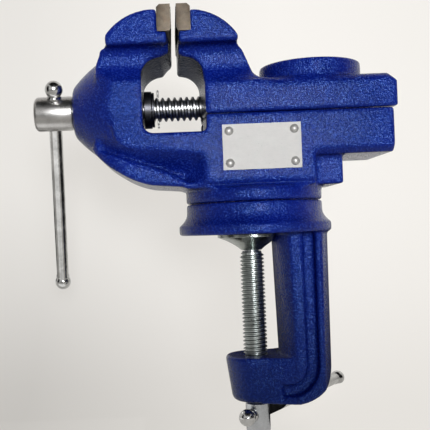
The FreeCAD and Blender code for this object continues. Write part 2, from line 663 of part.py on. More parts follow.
def vise_body_casting():
    body = new_body("vise_body_casting")
    mouth = GRIP_LEFT - S.fixed_mouth
    toe = S.jaw_back - S.jaw_length
    jaw_section(body, "jaw", toe - 6, mouth, S.fixed_neck_rise)

    # Fixed jaw from the side: seat of the plate, crown, and the back that slopes down to the boss.
    low = S.neck_foot - S.jaw_root
    trim(body, "jaw_side", "XZ_Plane", [
        (mouth, low), (mouth, S.plate_bottom), (S.jaw_back, S.plate_bottom),
        (S.jaw_back, S.jaw_crown, S.jaw_curve), (toe, S.jaw_toe), (toe, S.jaw_underside),
        (toe - 2.8, S.jaw_underside - 0.3), (toe - 4.6, S.neck_high), (toe - 6.8, S.neck_low), (toe - 6.8, low),
    ], S.jaw_half * 3)

    # Side wall round the arch, pedestal and rail, as wide as the sliding block.
    left = S.dome_end - 1
    wall = S.arch_bottom - S.wall_below
    sketch = new_sketch(body, "wall_outline", "XZ_Plane")
    add_outline(sketch, [
        (left, S.neck_foot), (left, S.parting + 3), (left + 2.5, S.arch_bottom + 2.5, S.wall_corner),
        (S.arch_left - 3.8, wall), (S.body_left - 10.6, wall), (S.body_left - 7, wall - 2.2),
        (S.body_left, wall - 4.1), (S.body_left, S.turret_top - S.seat), (S.body_right, S.turret_top - S.seat),
        (S.body_right, S.rail_bottom), (S.rail_end, S.rail_bottom), (S.rail_end, S.parting),
        (S.arch_left + 10, S.parting), (S.arch_left + 10, S.neck_foot),
    ])
    extrude(body, "wall", "Pad", sketch, S.half_width * 2, middle=True)

    # Bevels: underside of the rail and foot of the pedestal.
    sketch = new_sketch(body, "rail_bevel_outline", "YZ_Plane", S.body_right)
    for side in (-1, 1):
        corners = [
            (S.half_width + 1, S.rail_bottom - 1), (S.half_width + 1, S.rail_bottom + S.rail_bevel + 1),
            (S.half_width - S.rail_bevel - 1, S.rail_bottom - 1),
        ]
        if side < 0:
            corners = [(-x, z) for x, z in corners[::-1]]
        add_outline(sketch, corners)
    extrude(body, "rail_bevel", "Pocket", sketch, S.rail_end - S.body_right + 1, back=True)

    # Web and bottom flange between the boss and the pedestal.
    sketch = new_sketch(body, "web_outline", "XZ_Plane")
    foot = S.turret_top - S.seat
    start = toe - S.flange_reach
    bend = toe + S.flange_knee
    knee = S.body_left - S.shoulder_drop
    add_outline(sketch, [
        (left, S.parting), (start, S.flange_left), (bend, S.flange_bend + 2), (knee, foot),
        (S.body_left + 1, foot), (S.body_left + 1, wall + 4), (S.arch_left, wall + 4),
    ])
    extrude(body, "web", "Pad", sketch, S.web_half * 2, middle=True)
    sketch = new_sketch(body, "flange_outline", "XZ_Plane")
    middle = (bend + knee) / 2
    add_outline(sketch, [
        (start, S.flange_left, S.flange_curve), (bend, S.flange_bend, S.flange_curve), (middle, S.flange_low),
        (knee - 2, foot + 1), (knee, foot), (S.body_left + 1, foot), (S.body_left + 1, foot + 3),
        (knee + 1, foot + 3), (middle + 5, S.flange_top_low), (bend + 5.5, S.flange_top),
    ])
    extrude(body, "flange", "Pad", sketch, S.flange_half * 2, middle=True)

    # In plan the wall and the flange narrow towards the boss.
    def narrow(name, top, depth, right, wide, left_end, tip, curve):
        sketch = new_sketch(body, name + "_plan", "XY_Plane", top)
        beyond = wide + 4
        near = [(right, -beyond), (right, -wide), (left_end, -tip), (left_end, -beyond)]
        near[1] += (-curve,)
        far = [(right, beyond), (left_end, beyond), (left_end, tip), (right, wide)]
        far[2] += (-curve,)
        add_outline(sketch, near)
        add_outline(sketch, far)
        extrude(body, name, "Pocket", sketch, depth)

    narrow("wall_taper", S.neck_high, S.neck_high - S.flange_left, left + 4, S.half_width,
           toe - 7, S.boss_narrow, S.boss_round_plan)
    narrow("flange_taper", S.flange_left + 2, S.flange_left + 2 - foot, bend + 3, S.flange_half,
           start - 1, S.flange_tip, S.flange_round)

    # Screw boss: a dome about the lead screw.
    sketch = new_sketch(body, "dome_profile", "XZ_Plane")
    axis = S.lead_level
    add_outline(sketch, [
        (S.boss_face, axis), (S.boss_face, axis - S.dome_tip, S.dome_edge),
        (S.boss_face + 1.2, axis - S.dome_tip - 3.2, S.dome_curve),
        (S.dome_end, axis - S.dome_radius), (S.dome_end + 3, axis - S.dome_radius), (S.dome_end + 3, axis),
    ])
    dome = body.newObject("PartDesign::Revolution", "dome")
    dome.Profile = sketch
    dome.ReferenceAxis = (sketch, ["Edge6"])
    dome.Angle = 360.0
    doc.recompute()

    # The wall slopes in to the web, both below the arch and beside the pedestal.
    def slope(name, x, wide, high, drop):
        sketch = new_sketch(body, name, "YZ_Plane", x)
        add_outline(sketch, both_sides([(S.web_half, high - drop), (wide, high), (wide, high + 3)]))
        return sketch

    drop = S.shoulder_drop
    shoulder = body.newObject("PartDesign::AdditiveLoft", "shoulder")
    shoulder.Profile = slope("slope_boss", left - 1, S.half_width - 4.5, S.arch_bottom, drop * 0.7)
    shoulder.Sections = [
        slope("slope_corner", toe + S.flange_knee + 0.8, S.half_width, wall + 3.9, drop),
        slope("slope_arch", S.arch_left - 4, S.half_width, wall + 0.6, drop),
        slope("slope_turret", S.body_left, S.half_width, wall - 2.5, drop),
    ]
    shoulder.Ruled = True
    doc.recompute()
    sketch = new_sketch(body, "cheek_outline", "XY_Plane", foot)
    add_outline(sketch, [
        (knee, -S.web_half), (S.body_left, -S.half_width), (S.body_left + 1, -S.half_width),
        (S.body_left + 1, S.half_width), (S.body_left, S.half_width), (knee, S.web_half),
    ])
    extrude(body, "cheek", "Pad", sketch, wall - foot)

    # Set-back part of the pedestal under the rail, and the turret disc.
    sketch = new_sketch(body, "step_outline", "XZ_Plane")
    add_outline(sketch, [
        (S.body_right - 1, foot), (S.step_right, foot), (S.step_right, S.rail_bottom + 1),
        (S.body_right - 1, S.rail_bottom + 1),
    ])
    extrude(body, "step", "Pad", sketch, S.step_half * 2, middle=True)
    sketch = new_sketch(body, "turret_profile", "XZ_Plane")
    under = S.neck_top + S.swivel_gap
    edge = S.turret_edge
    add_outline(sketch, [
        (0, under), (S.neck_radius, under), (S.neck_radius, S.turret_top - edge),
        (S.neck_radius - edge, S.turret_top), (0, S.turret_top),
    ])
    turn(body, "turret", "Revolution", sketch)

    # Notch between the pedestal's faces and the disc.
    notch = S.body_notch
    sketch = new_sketch(body, "notch_outline", "YZ_Plane", S.body_left - 4)
    for side in (-1, 1):
        corners = [
            (S.half_width + 1, S.turret_top), (S.half_width + 1, S.turret_top + notch * 2, -notch),
            (S.half_width - notch + 0.6, S.turret_top + notch), (S.half_width - notch + 0.6, S.turret_top),
        ]
        if side < 0:
            corners = [
                (-(S.half_width - notch + 0.6), S.turret_top),
                (-(S.half_width - notch + 0.6), S.turret_top + notch, -notch),
                (-(S.half_width + 1), S.turret_top + notch * 2), (-(S.half_width + 1), S.turret_top),
            ]
        add_outline(sketch, corners)
    extrude(body, "notch", "Pocket", sketch, S.body_right - S.body_left + 8, back=True)

    cut_arch(body)
    cut_mouth(body, "mouth", mouth, S.fixed_draft, -1)
    cut_screw_holes(body, "plate_holes", S.jaw_back, False)

    # Bore for the lead screw, through the boss.
    sketch = new_sketch(body, "lead_bore_circle", "YZ_Plane", S.boss_face - 1)
    add_circle(sketch, 0, S.lead_level, S.lead_radius + S.fit)
    extrude(body, "lead_bore", "Pocket", sketch, S.arch_left - S.boss_face + 3, back=True)

    # Slot in the rail, open to the arch and to the right, with a wider chamber below it.
    sketch = new_sketch(body, "slot_outline", "YZ_Plane", S.arch_right - 5)
    add_outline(sketch, both_sides([(S.slot_half, S.slot_floor), (S.slot_half, S.parting + 1)]))
    extrude(body, "slot", "Pocket", sketch, S.rail_end - S.arch_right + 6, back=True)
    sketch = new_sketch(body, "chamber_outline", "YZ_Plane", S.chamber_start)
    add_outline(sketch, both_sides([(S.chamber_half, S.chamber_floor), (S.chamber_half, S.slot_floor + 0.5)]))
    extrude(body, "chamber", "Pocket", sketch, S.rail_end - S.chamber_start + 1, back=True)

    # Threaded hole for the pivot bolt, and the rivet holes.
    sketch = new_sketch(body, "pivot_hole_circle", "XY_Plane", S.neck_top)
    add_circle(sketch, 0, 0, S.bolt_radius + S.seat / 2)
    extrude(body, "pivot_hole", "Pocket", sketch, S.bolt_reach + 1 - S.neck_top, back=True)
    sketch = new_sketch(body, "rivet_circles", "XZ_Plane", S.half_width)
    for x, z in rivet_places():
        add_circle(sketch, x, z, S.rivet_shank + S.seat)
    extrude(body, "rivet_holes", "Pocket", sketch, S.rivet_depth + S.seat * 2)
    return body


def rivet_places():
    """Centres of the four rivets."""
    across = S.badge_length / 2 - S.rivet_inset
    up = S.badge_height / 2 - S.rivet_inset
    return [(S.badge_x + across * i, S.badge_level + up * j) for i in (-1, 1) for j in (-1, 1)]


# ---------------------------------------------------------------------------------------------------
# Sliding jaw casting: jaw, block with the screw tunnel, keel and round anvil
# ---------------------------------------------------------------------------------------------------


def sliding_jaw_casting():
    body = new_body("sliding_jaw_casting")
    mouth = GRIP_RIGHT + S.slide_mouth
    toe = SEAT_RIGHT + S.right_jaw_length
    jaw_section(body, "jaw", mouth, toe + 14, Size.of(0))

    # Sliding jaw from the side.
    low = S.neck_foot - S.jaw_root
    trim(body, "jaw_side", "XZ_Plane", [
        (mouth, low), (toe + 13, low), (toe + 13, S.block_top - 0.1), (toe + 10.5, S.block_top, -S.heel_curve),
        (toe + 6.2, S.neck_low - 1), (toe + 2.6, S.neck_high + 2), (toe - 0.2, S.jaw_underside),
        (toe, S.jaw_underside + 2.2, S.jaw_curve), (SEAT_RIGHT, S.jaw_crown - 0.6),
        (SEAT_RIGHT, S.plate_bottom), (mouth, S.plate_bottom),
    ], S.jaw_half * 3)

    # Sliding block with bevelled top edges.
    base = S.parting + S.air
    bevel = S.block_bevel
    sketch = new_sketch(body, "block_section", "YZ_Plane", mouth)
    add_outline(sketch, both_sides([
        (S.half_width, base), (S.half_width, S.block_top - bevel * 0.9, S.block_round),
        (S.half_width - bevel, S.block_top),
    ]))
    extrude(body, "block", "Pad", sketch, S.block_end - mouth)
    bevel = S.block_end_bevel
    sketch = new_sketch(body, "end_bevel", "XZ_Plane")
    add_outline(sketch, [
        (S.block_end - bevel, S.block_top + 1), (S.block_end - bevel, S.block_top, bevel * 1.5),
        (S.block_end, S.block_top - bevel * 1.2), (S.block_end + 1, S.block_top - bevel * 1.2),
        (S.block_end + 1, S.block_top + 1),
    ])
    extrude(body, "end_bevel_cut", "Pocket", sketch, S.half_width * 2 + 2, middle=True)

    # Round anvil with a fillet at its foot.
    sketch = new_sketch(body, "anvil_profile", "XZ_Plane")
    axis = S.anvil_axis
    edge = axis + S.anvil_radius
    add_outline(sketch, [
        (axis, S.block_top - S.anvil_foot), (edge + S.anvil_foot, S.block_top - S.anvil_foot, -S.anvil_foot_curve),
        (edge, S.block_top + S.anvil_foot), (edge, S.anvil_top - S.anvil_round, S.anvil_round),
        (edge - S.anvil_round, S.anvil_top), (axis, S.anvil_top),
    ])
    anvil = body.newObject("PartDesign::Revolution", "anvil")
    anvil.Profile = sketch
    anvil.ReferenceAxis = (sketch, ["Edge6"])
    anvil.Angle = 360.0
    doc.recompute()

    cut_arch(body)
    cut_mouth(body, "mouth", mouth, S.slide_draft, 1)
    cut_screw_holes(body, "plate_holes", SEAT_RIGHT, True)

    # Tunnel for the lead screw and pocket for its nut, both open underneath.
    tunnel = S.tunnel_half
    sketch = new_sketch(body, "tunnel_outline", "YZ_Plane", mouth - 1)
    add_outline(sketch, [
        (-tunnel, base - 1), (tunnel, base - 1), (tunnel, S.lead_level, tunnel),
        (0, S.lead_level + tunnel, tunnel), (-tunnel, S.lead_level),
    ])
    extrude(body, "tunnel", "Pocket", sketch, S.tunnel_end - mouth + 1, back=True)
    sketch = new_sketch(body, "nut_pocket_outline", "YZ_Plane", S.nut_start - S.seat)
    nut = S.slot_half - S.keel_play
    add_outline(sketch, both_sides([(nut + S.seat, base - 1), (nut + S.seat, S.nut_top + S.seat)]))
    extrude(body, "nut_pocket", "Pocket", sketch, S.nut_length + S.seat * 2, back=True)

    # Keel that runs in the slot of the rail, with holes for the screws of its strip.
    sketch = new_sketch(body, "keel_outline", "YZ_Plane", S.keel_start)
    foot = S.slot_floor - S.keel_lift
    add_outline(sketch, both_sides([(nut, foot), (nut, base)]))
    extrude(body, "keel", "Pad", sketch, S.keel_length)
    sketch = new_sketch(body, "strip_holes_circles", "XY_Plane", foot)
    for x in strip_screw_places():
        add_circle(sketch, x, 0, S.strip_screw_radius + S.seat)
    extrude(body, "strip_holes", "Pocket", sketch, S.strip_screw_depth + S.seat * 2, back=True)
    return body


def strip_screw_places():
    """X of the two screws under the keel."""
    return [S.keel_start + S.keel_length * share for share in (0.22, 0.78)]


# ---------------------------------------------------------------------------------------------------
# Jaw plates, their screws, nameplate and rivets
# ---------------------------------------------------------------------------------------------------


def jaw_plate(label, seat, side):
    """A ground plate with bevelled edges and two countersunk holes. side is where its grip face looks."""
    body = new_body(label)
    bevel = S.plate_bevel
    thick = S.plate_thickness
    sketch = new_sketch(body, "plate_section", "XZ_Plane")
    grip = seat + thick * side
    corners = [
        (seat, S.plate_bottom + S.seat), (grip - bevel * side, S.plate_bottom + S.seat),
        (grip, S.plate_bottom + bevel * 2), (grip, S.plate_top), (seat + bevel * 2 * side, S.plate_top),
        (seat, S.plate_top - bevel * 2),
    ]
    if side < 0:
        corners = corners[::-1]
    add_outline(sketch, corners)
    extrude(body, "plate", "Pad", sketch, S.jaw_half * 2, middle=True)
    for name, radius, depth in (
            ("holes", S.screw_radius + S.seat, thick + 1),
            ("sinks", S.screw_head + S.seat, S.screw_sink + S.head_thickness)):
        sketch = new_sketch(body, name + "_circles", "YZ_Plane", grip)
        for way in (-1, 1):
            add_circle(sketch, S.screw_spread * way, S.screw_level, radius)
        extrude(body, name, "Pocket", sketch, depth, back=(side < 0))
    return body


def turned(label, profile, at, rotation=None, finished=True):
    """A turned piece: a half outline of (radius, along) pairs about its own Z axis."""
    body = doc.addObject("PartDesign::Body", label)
    body.Label = label
    if finished:
        NODES.append(body)
    sketch = new_sketch(body, "profile", "XZ_Plane")
    add_outline(sketch, profile)
    turn(body, "turned", "Revolution", sketch)
    return place(body, at[0], at[1], at[2], rotation)


def jaw_screw(label, grip, side, way):
    """A plain stand-in for a cap screw: head in the plate, shank in the casting."""
    shank = S.plate_thickness - S.screw_sink - S.head_thickness + S.screw_depth
    rotation = FreeCAD.Rotation(V(0, 0, 1), V(side, 0, 0))
    top = S.head_thickness
    turned(label, [
        (0, -shank), (S.screw_radius, -shank), (S.screw_radius, 0), (S.screw_head, 0),
        (S.screw_head, top), (S.hex_socket, top), (S.hex_socket, top / 2), (0, top / 2),
    ], (grip - (S.screw_sink + S.head_thickness) * side, S.screw_spread * way, S.screw_level), rotation)


def nameplate():
    body = new_body("nameplate")
    sketch = new_sketch(body, "outline", "XZ_Plane", S.half_width)
    x = S.badge_length / 2
    z = S.badge_height / 2
    add_outline(sketch, [
        (S.badge_x - x, S.badge_level - z), (S.badge_x + x, S.badge_level - z),
        (S.badge_x + x, S.badge_level + z), (S.badge_x - x, S.badge_level + z),
    ])
    for rx, rz in rivet_places():
        add_circle(sketch, rx, rz, S.rivet_shank + S.seat)
    extrude(body, "sheet_metal", "Pad", sketch, S.badge_thickness)
    dome = (S.rivet_radius * S.rivet_radius / S.rivet_height + S.rivet_height) / 2
    number = 1
    for rx, rz in rivet_places():
        turned("nameplate_rivet_%d" % number, [
            (0, -(S.rivet_depth + S.badge_thickness)), (S.rivet_shank, -(S.rivet_depth + S.badge_thickness)),
            (S.rivet_shank, 0), (S.rivet_radius, 0, dome), (0, S.rivet_height),
        ], (rx, -(S.half_width + S.badge_thickness), rz), FreeCAD.Rotation(V(0, 0, 1), V(0, -1, 0)))
        number += 1


# ---------------------------------------------------------------------------------------------------
# Screws, bars and the small parts round them
# ---------------------------------------------------------------------------------------------------


def ring(label, start, thickness, inner, outer, at, rotation=None):
    """A flat washer along an axis."""
    turned(label, [
        (inner, start), (outer, start), (outer, start + thickness), (inner, start + thickness),
    ], at, rotation)


def bar_rotation_lead():
    """Turns +Z into the direction of the lead bar's upper end."""
    slant = FreeCAD.Rotation(V(0, 1, 0), S.lead_bar_slant.value)
    return slant.multiply(FreeCAD.Rotation(V(1, 0, 0), S.lead_bar_lean.value))


def bar_rotation_clamp():
    """Turns +Z into the direction of the clamp bar's far end."""
    angle = math.radians(S.clamp_bar_turn.value)
    return FreeCAD.Rotation(V(0, 0, 1), V(math.sin(angle), math.cos(angle), 0))


def cross_hole(name, base, radius, at, rotation):
    """Drill a hole across a turned piece, along a bar's direction through a point."""
    depth = radius * 20
    drill = part_object("Cylinder", name + "_drill", Radius=radius + S.fit, Height=depth)
    middle = rotation.multVec(V(0, 0, -depth.value / 2))
    place(drill, at[0] + middle.x, at[1] + middle.y, at[2] + middle.z, rotation)
    return cut(name, base, drill)


def bar_with_balls(label, radius, ball, low, high, at, rotation):
    """A bar along its own Z axis and a ball pressed on each end. low and high are the balls' centres."""
    inside = ball - S.ball_socket
    turned(label, [
        (0, low + inside), (radius - 0.3, low + inside), (radius, low + inside + 0.3),
        (radius, high - inside - 0.3), (radius - 0.3, high - inside), (0, high - inside),
    ], at, rotation)
    for name, centre, way in (("_ball_low", low, 1), ("_ball_high", high, -1)):
        sphere = part_object("Sphere", label + name + "_solid", Radius=ball)
        socket = part_object(
            "Cylinder", label + name + "_socket", Radius=radius + S.seat, Height=ball)
        bind(socket, ".Placement.Base.z", inside - S.seat)
        drilled = node(cut(label + name, sphere, socket), label + name)
        direction = rotation.multVec(V(0, 0, way))
        offset = rotation.multVec(V(0, 0, centre.value))
        place(drilled, at[0] + offset.x, at[1] + offset.y, at[2] + offset.z,
              FreeCAD.Rotation(V(0, 0, 1), direction))


def lead_screw_parts():
    """Lead screw with its washers, split pin and bar."""
    start = S.boss_face - S.air
    length = S.lead_end - start
    radius = S.lead_radius
    head = S.head_radius
    bevel = S.head_bevel
    along = FreeCAD.Rotation(V(0, 0, 1), V(1, 0, 0))
    blank = turned("lead_screw_blank", [
        (0, -S.head_length), (head - bevel, -S.head_length), (head, bevel - S.head_length),
        (head, -bevel), (head - bevel, 0), (radius, 0), (radius, length - 1), (radius - 1, length),
        (0, length),
    ], (start, 0, S.lead_level), along, finished=False)
    bar_at = (S.boss_face - S.bar_setback, Size.of(0), S.lead_level)
    drilled = cross_hole("lead_screw_drilled", blank, S.lead_bar_radius, bar_at, bar_rotation_lead())
    first = S.arch_left + S.air
    second = first + S.thick_washer + S.seat
    pin_x = second + S.thin_washer + S.seat + S.pin_eye
    upright = FreeCAD.Rotation()
    screw = cross_hole("lead_screw_finished", drilled, S.pin_radius + S.seat, (pin_x, Size.of(0), S.lead_level),
                       upright)
    node(screw, "lead_screw")
    inner = radius + S.seat
    axis = (Size.of(0), Size.of(0), S.lead_level)
    ring("thrust_washer", first, S.thick_washer, inner, S.thick_washer_radius, axis, along)
    ring("retaining_washer", second, S.thin_washer, inner, S.thin_washer_radius, axis, along)
    shaft = part_object("Cylinder", "pin_shaft", Radius=S.pin_radius, Height=S.pin_reach * 2)
    place(shaft, pin_x, 0, S.lead_level - S.pin_reach)
    eye = part_object("Sphere", "pin_eye", Radius=S.pin_eye)
    place(eye, pin_x, 0, S.lead_level + S.pin_reach - S.pin_radius)
    pin = doc.addObject("Part::Fuse", "pin_fused")
    pin.Base = shaft
    pin.Tool = eye
    node(pin, "split_pin")
    bar_with_balls("lead_bar", S.lead_bar_radius, S.lead_ball, -S.lead_bar_below, S.lead_bar_above,
                   bar_at, bar_rotation_lead())


def clamp_screw_parts():
    """Clamp screw, its dished pad and its bar."""
    neck = S.tip_neck
    floor = S.pad_bottom + S.pad_floor + S.seat
    blank = turned("clamp_screw_blank", [
        (0, S.clamp_end), (S.clamp_radius - 1, S.clamp_end), (S.clamp_radius, S.clamp_end + 1),
        (S.clamp_radius, S.clamp_shoulder - 1), (S.clamp_radius - 1, S.clamp_shoulder),
        (neck, S.clamp_shoulder), (neck, floor), (S.tip_head, floor), (S.tip_head, floor + S.tip_edge),
        (S.tip_head - S.tip_edge * 2, floor + S.tip_height), (0, floor + S.tip_height),
    ], (S.clamp_axis, 0, 0), None, finished=False)
    bar_at = (S.clamp_axis, Size.of(0), S.clamp_bar_level)
    screw = cross_hole("clamp_screw_drilled", blank, S.clamp_bar_radius, bar_at, bar_rotation_clamp())
    node(screw, "clamp_screw")
    bar_with_balls("clamp_bar", S.clamp_bar_radius, S.clamp_ball, -S.clamp_bar_near, S.clamp_bar_far,
                   bar_at, bar_rotation_clamp())
    pad = turned("clamp_pad", [
        (neck + S.fit, S.pad_bottom), (S.pad_foot, S.pad_bottom, -S.pad_curve),
        (S.pad_radius, -(S.air + S.pad_rim)), (S.pad_radius, -S.air), (S.pad_hollow, -S.air),
        (S.tip_head + 0.6, S.pad_bottom + S.pad_floor), (neck + S.fit, S.pad_bottom + S.pad_floor),
    ], (S.clamp_axis, 0, 0))
    sketch = new_sketch(pad, "flat_outline", "XY_Plane", S.pad_bottom - 1)
    wide = S.pad_radius + 1
    add_outline(sketch, [(S.pad_flat, -wide), (wide, -wide), (wide, wide), (S.pad_flat, wide)])
    extrude(pad, "flat", "Pocket", sketch, S.pad_radius, back=True)


def pivot_parts():
    """Hexagon bolt that the vise turns with, screwed into the turret from below, and its washer."""
    head = doc.addObject("Part::Prism", "bolt_head")
    head.Polygon = 6
    bind(head, "Circumradius", S.bolt_head_radius / math.cos(math.radians(30)))
    bind(head, "Height", S.bolt_head_height)
    place(head, 0, 0, S.bolt_sink)
    shank = part_object(
        "Cylinder", "bolt_shank", Radius=S.bolt_radius, Height=S.bolt_reach - S.bolt_sink)
    place(shank, 0, 0, S.bolt_sink)
    bolt = doc.addObject("Part::Fuse", "bolt_fused")
    bolt.Base = head
    bolt.Tool = shank
    node(bolt, "pivot_bolt")
    zero = Size.of(0)
    ring("pivot_washer", S.bolt_sink + S.bolt_head_height, S.washer_thickness, S.bolt_radius + S.seat,
         S.washer_radius, (zero, zero, zero))


def slide_parts():
    """Lead nut in its pocket, and the strip that keeps the keel in the rail."""
    half = S.slot_half - S.keel_play
    block = part_object("Box", "nut_block", Length=S.nut_length, Width=half * 2, Height=S.nut_top - S.nut_bottom)
    place(block, S.nut_start, -half, S.nut_bottom)
    bore = part_object("Cylinder", "nut_bore", Radius=S.lead_radius + S.fit, Height=S.nut_length + 2)
    place(bore, S.nut_start - 1, 0, S.lead_level, FreeCAD.Rotation(V(0, 0, 1), V(1, 0, 0)))
    node(cut("nut_bored", block, bore), "lead_nut")

    foot = S.slot_floor - S.keel_lift
    strip = new_body("keel_strip")
    sketch = new_sketch(strip, "strip_outline", "XY_Plane", foot - S.strip_height)
    wide = S.chamber_half - S.keel_play
    add_outline(sketch, [
        (S.keel_start, -wide), (S.keel_start + S.keel_length, -wide),
        (S.keel_start + S.keel_length, wide), (S.keel_start, wide),
    ])
    for x in strip_screw_places():
        add_circle(sketch, x, 0, S.strip_screw_radius + S.seat)
    extrude(strip, "strip", "Pad", sketch, S.strip_height)
    sketch = new_sketch(strip, "sinks_circles", "XY_Plane", foot - S.strip_height)
    for x in strip_screw_places():
        add_circle(sketch, x, 0, S.strip_screw_head + S.seat)
    extrude(strip, "sinks", "Pocket", sketch, S.strip_head_height + S.seat * 3, back=True)
    seat = foot - S.strip_height + S.strip_head_height + S.seat * 3
    for number, x in enumerate(strip_screw_places(), start=1):
        reach = S.strip_height - S.strip_head_height - S.seat * 3 + S.strip_screw_depth
        turned("keel_screw_%d" % number, [
            (0, -S.strip_head_height), (S.strip_screw_head, -S.strip_head_height), (S.strip_screw_head, 0),
            (S.strip_screw_radius, 0), (S.strip_screw_radius, reach), (0, reach),
        ], (x, 0, seat))


# ---------------------------------------------------------------------------------------------------
# Build, check and write
# ---------------------------------------------------------------------------------------------------
clamp_frame()
vise_body_casting()
sliding_jaw_casting()
jaw_plate("fixed_jaw_plate", S.jaw_back, 1)
jaw_plate("sliding_jaw_plate", SEAT_RIGHT, -1)
for way, place_name in ((-1, "near"), (1, "far")):
    jaw_screw("fixed_jaw_screw_" + place_name, GRIP_LEFT, 1, way)
    jaw_screw("sliding_jaw_screw_" + place_name, GRIP_RIGHT, -1, way)
nameplate()
pivot_parts()
slide_parts()
lead_screw_parts()
clamp_screw_parts()
doc.recompute()

for item in doc.Objects:
    if "Invalid" in item.State or "Error" in item.State:
        raise RuntimeError("%s failed: %s" % (item.Name, item.State))
for item in NODES:
    shape = item.Shape
    if shape.isNull() or not shape.isValid() or len(shape.Solids) != 1:
        raise RuntimeError("%s is not one valid solid" % item.Label)

os.makedirs("parts", exist_ok=True)
for item in NODES:
    item.Shape.exportStep(os.path.join("parts", item.Label + ".step"))
    box = item.Shape.BoundBox
    print("%-26s %9.1f mm3  %s" % (item.Label, item.Shape.Volume, box))
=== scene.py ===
# %% [markdown]
# # A clamp-on swivel vise, dressed for its picture
# The vise arrives as a finished engineering model: every casting, screw and bar is already there at its true
# size. It could be modelled a second time in Blender, but then the two would drift apart. This lesson instead
# gives those solids what a drawing leaves out: the soft edges of cast iron, enamel with its orange-peel skin,
# real threads, toothed jaw faces and worn plated steel. Nothing is moved or resized on the way.

# %% Load the engineering model
import math

import bmesh
import bpy
from mathutils import Matrix, Vector


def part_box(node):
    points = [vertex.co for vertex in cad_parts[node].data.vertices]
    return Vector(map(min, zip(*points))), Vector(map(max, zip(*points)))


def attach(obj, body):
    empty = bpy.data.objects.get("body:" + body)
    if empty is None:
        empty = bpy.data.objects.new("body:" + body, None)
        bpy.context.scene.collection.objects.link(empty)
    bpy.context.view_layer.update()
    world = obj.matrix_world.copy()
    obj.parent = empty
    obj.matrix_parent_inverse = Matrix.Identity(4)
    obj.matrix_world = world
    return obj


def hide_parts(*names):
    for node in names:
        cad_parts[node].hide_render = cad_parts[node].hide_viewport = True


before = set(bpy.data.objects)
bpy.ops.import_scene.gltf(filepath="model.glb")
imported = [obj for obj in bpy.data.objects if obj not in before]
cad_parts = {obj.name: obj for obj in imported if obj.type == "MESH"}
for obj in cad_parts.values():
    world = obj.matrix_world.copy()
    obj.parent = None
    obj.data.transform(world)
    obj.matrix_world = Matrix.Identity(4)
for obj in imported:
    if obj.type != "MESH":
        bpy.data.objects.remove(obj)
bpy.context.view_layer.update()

MM = 0.001  # Blender's unit here is the metre, and the sizes of the pieces are written in millimetres

# %% [markdown]
# ## Sums on sockets
# A finish is a small calculation over the surface. Written as nodes and links it is hard to read, so one class
# wraps an output socket and lets Python's own signs make the Math nodes: `1 - mask` or `noise * 0.4 + grain`.
# The same class serves materials and Geometry Nodes, because both kinds of tree know the same Math node.

# %% A socket that can be used in sums
class Wire:
    """An output socket that answers to + - * / and ** with Math nodes."""

    def __init__(self, board, socket):
        self.board = board
        self.socket = socket

    def sum_up(self, operation, left, right=None):
        """Add one Math node that works on one or two values."""
        values = {0: left} if right is None else {0: left, 1: right}
        return self.board.add("ShaderNodeMath", {"operation": operation}, values)

    def __add__(self, other):
        return self.sum_up("ADD", self, other)

    def __radd__(self, other):
        return self.sum_up("ADD", other, self)

    def __sub__(self, other):
        return self.sum_up("SUBTRACT", self, other)

    def __rsub__(self, other):
        return self.sum_up("SUBTRACT", other, self)

    def __mul__(self, other):
        return self.sum_up("MULTIPLY", self, other)

    def __rmul__(self, other):
        return self.sum_up("MULTIPLY", other, self)

    def __truediv__(self, other):
        return self.sum_up("DIVIDE", self, other)

    def __rtruediv__(self, other):
        return self.sum_up("DIVIDE", other, self)

    def __pow__(self, other):
        return self.sum_up("POWER", self, other)

    def least(self, other):
        return self.sum_up("MINIMUM", self, other)

    def most(self, other):
        return self.sum_up("MAXIMUM", self, other)

    def size(self):
        return self.sum_up("ABSOLUTE", self)


print("a socket answers to:", "+ - * / **", "least", "most", "size")

# %% A tree that nodes are added to
NODE_STEP = (190, -260)  # how far apart the nodes are laid out in the editor
NODES_IN_ROW = 12


class Board:
    """A node tree with one way to add a node: its type, its settings, and what goes into its sockets."""

    def __init__(self, tree):
        self.tree = tree
        self.step = 0

    def add(self, kind, settings=None, inputs=None, out=0):
        """Add a node, and hand back the output that is asked for, by its number or its name."""
        made = self.tree.nodes.new(kind)
        made.location = (NODE_STEP[0] * (self.step % NODES_IN_ROW), NODE_STEP[1] * (self.step // NODES_IN_ROW))
        self.step += 1
        for key, value in (settings or {}).items():
            setattr(made, key, value)
        for key, value in (inputs or {}).items():
            if isinstance(value, Wire):
                self.tree.links.new(value.socket, made.inputs[key])
            else:
                made.inputs[key].default_value = value
        if not made.outputs:
            return made
        return Wire(self, made.outputs[out])


print("a tree lays out", NODES_IN_ROW, "nodes in a row")

# %% [markdown]
# ## A finish
# Every finish here starts from the same Principled shader. What stays the same all over is typed on the shader's
# own socket. What changes over the surface, such as colour, roughness and the fine relief, is wired in. The
# patterns could come from painted pictures, but noise has no seams and stays sharp from close by. All of them
# read Object coordinates, so they stay on the piece when a jaw or a screw moves.

# %% The start of every finish
# Sockets of the Mix node when it mixes colours: two go in and one comes out.
FIRST_COLOUR, SECOND_COLOUR, MIXED_COLOUR = 6, 7, 2


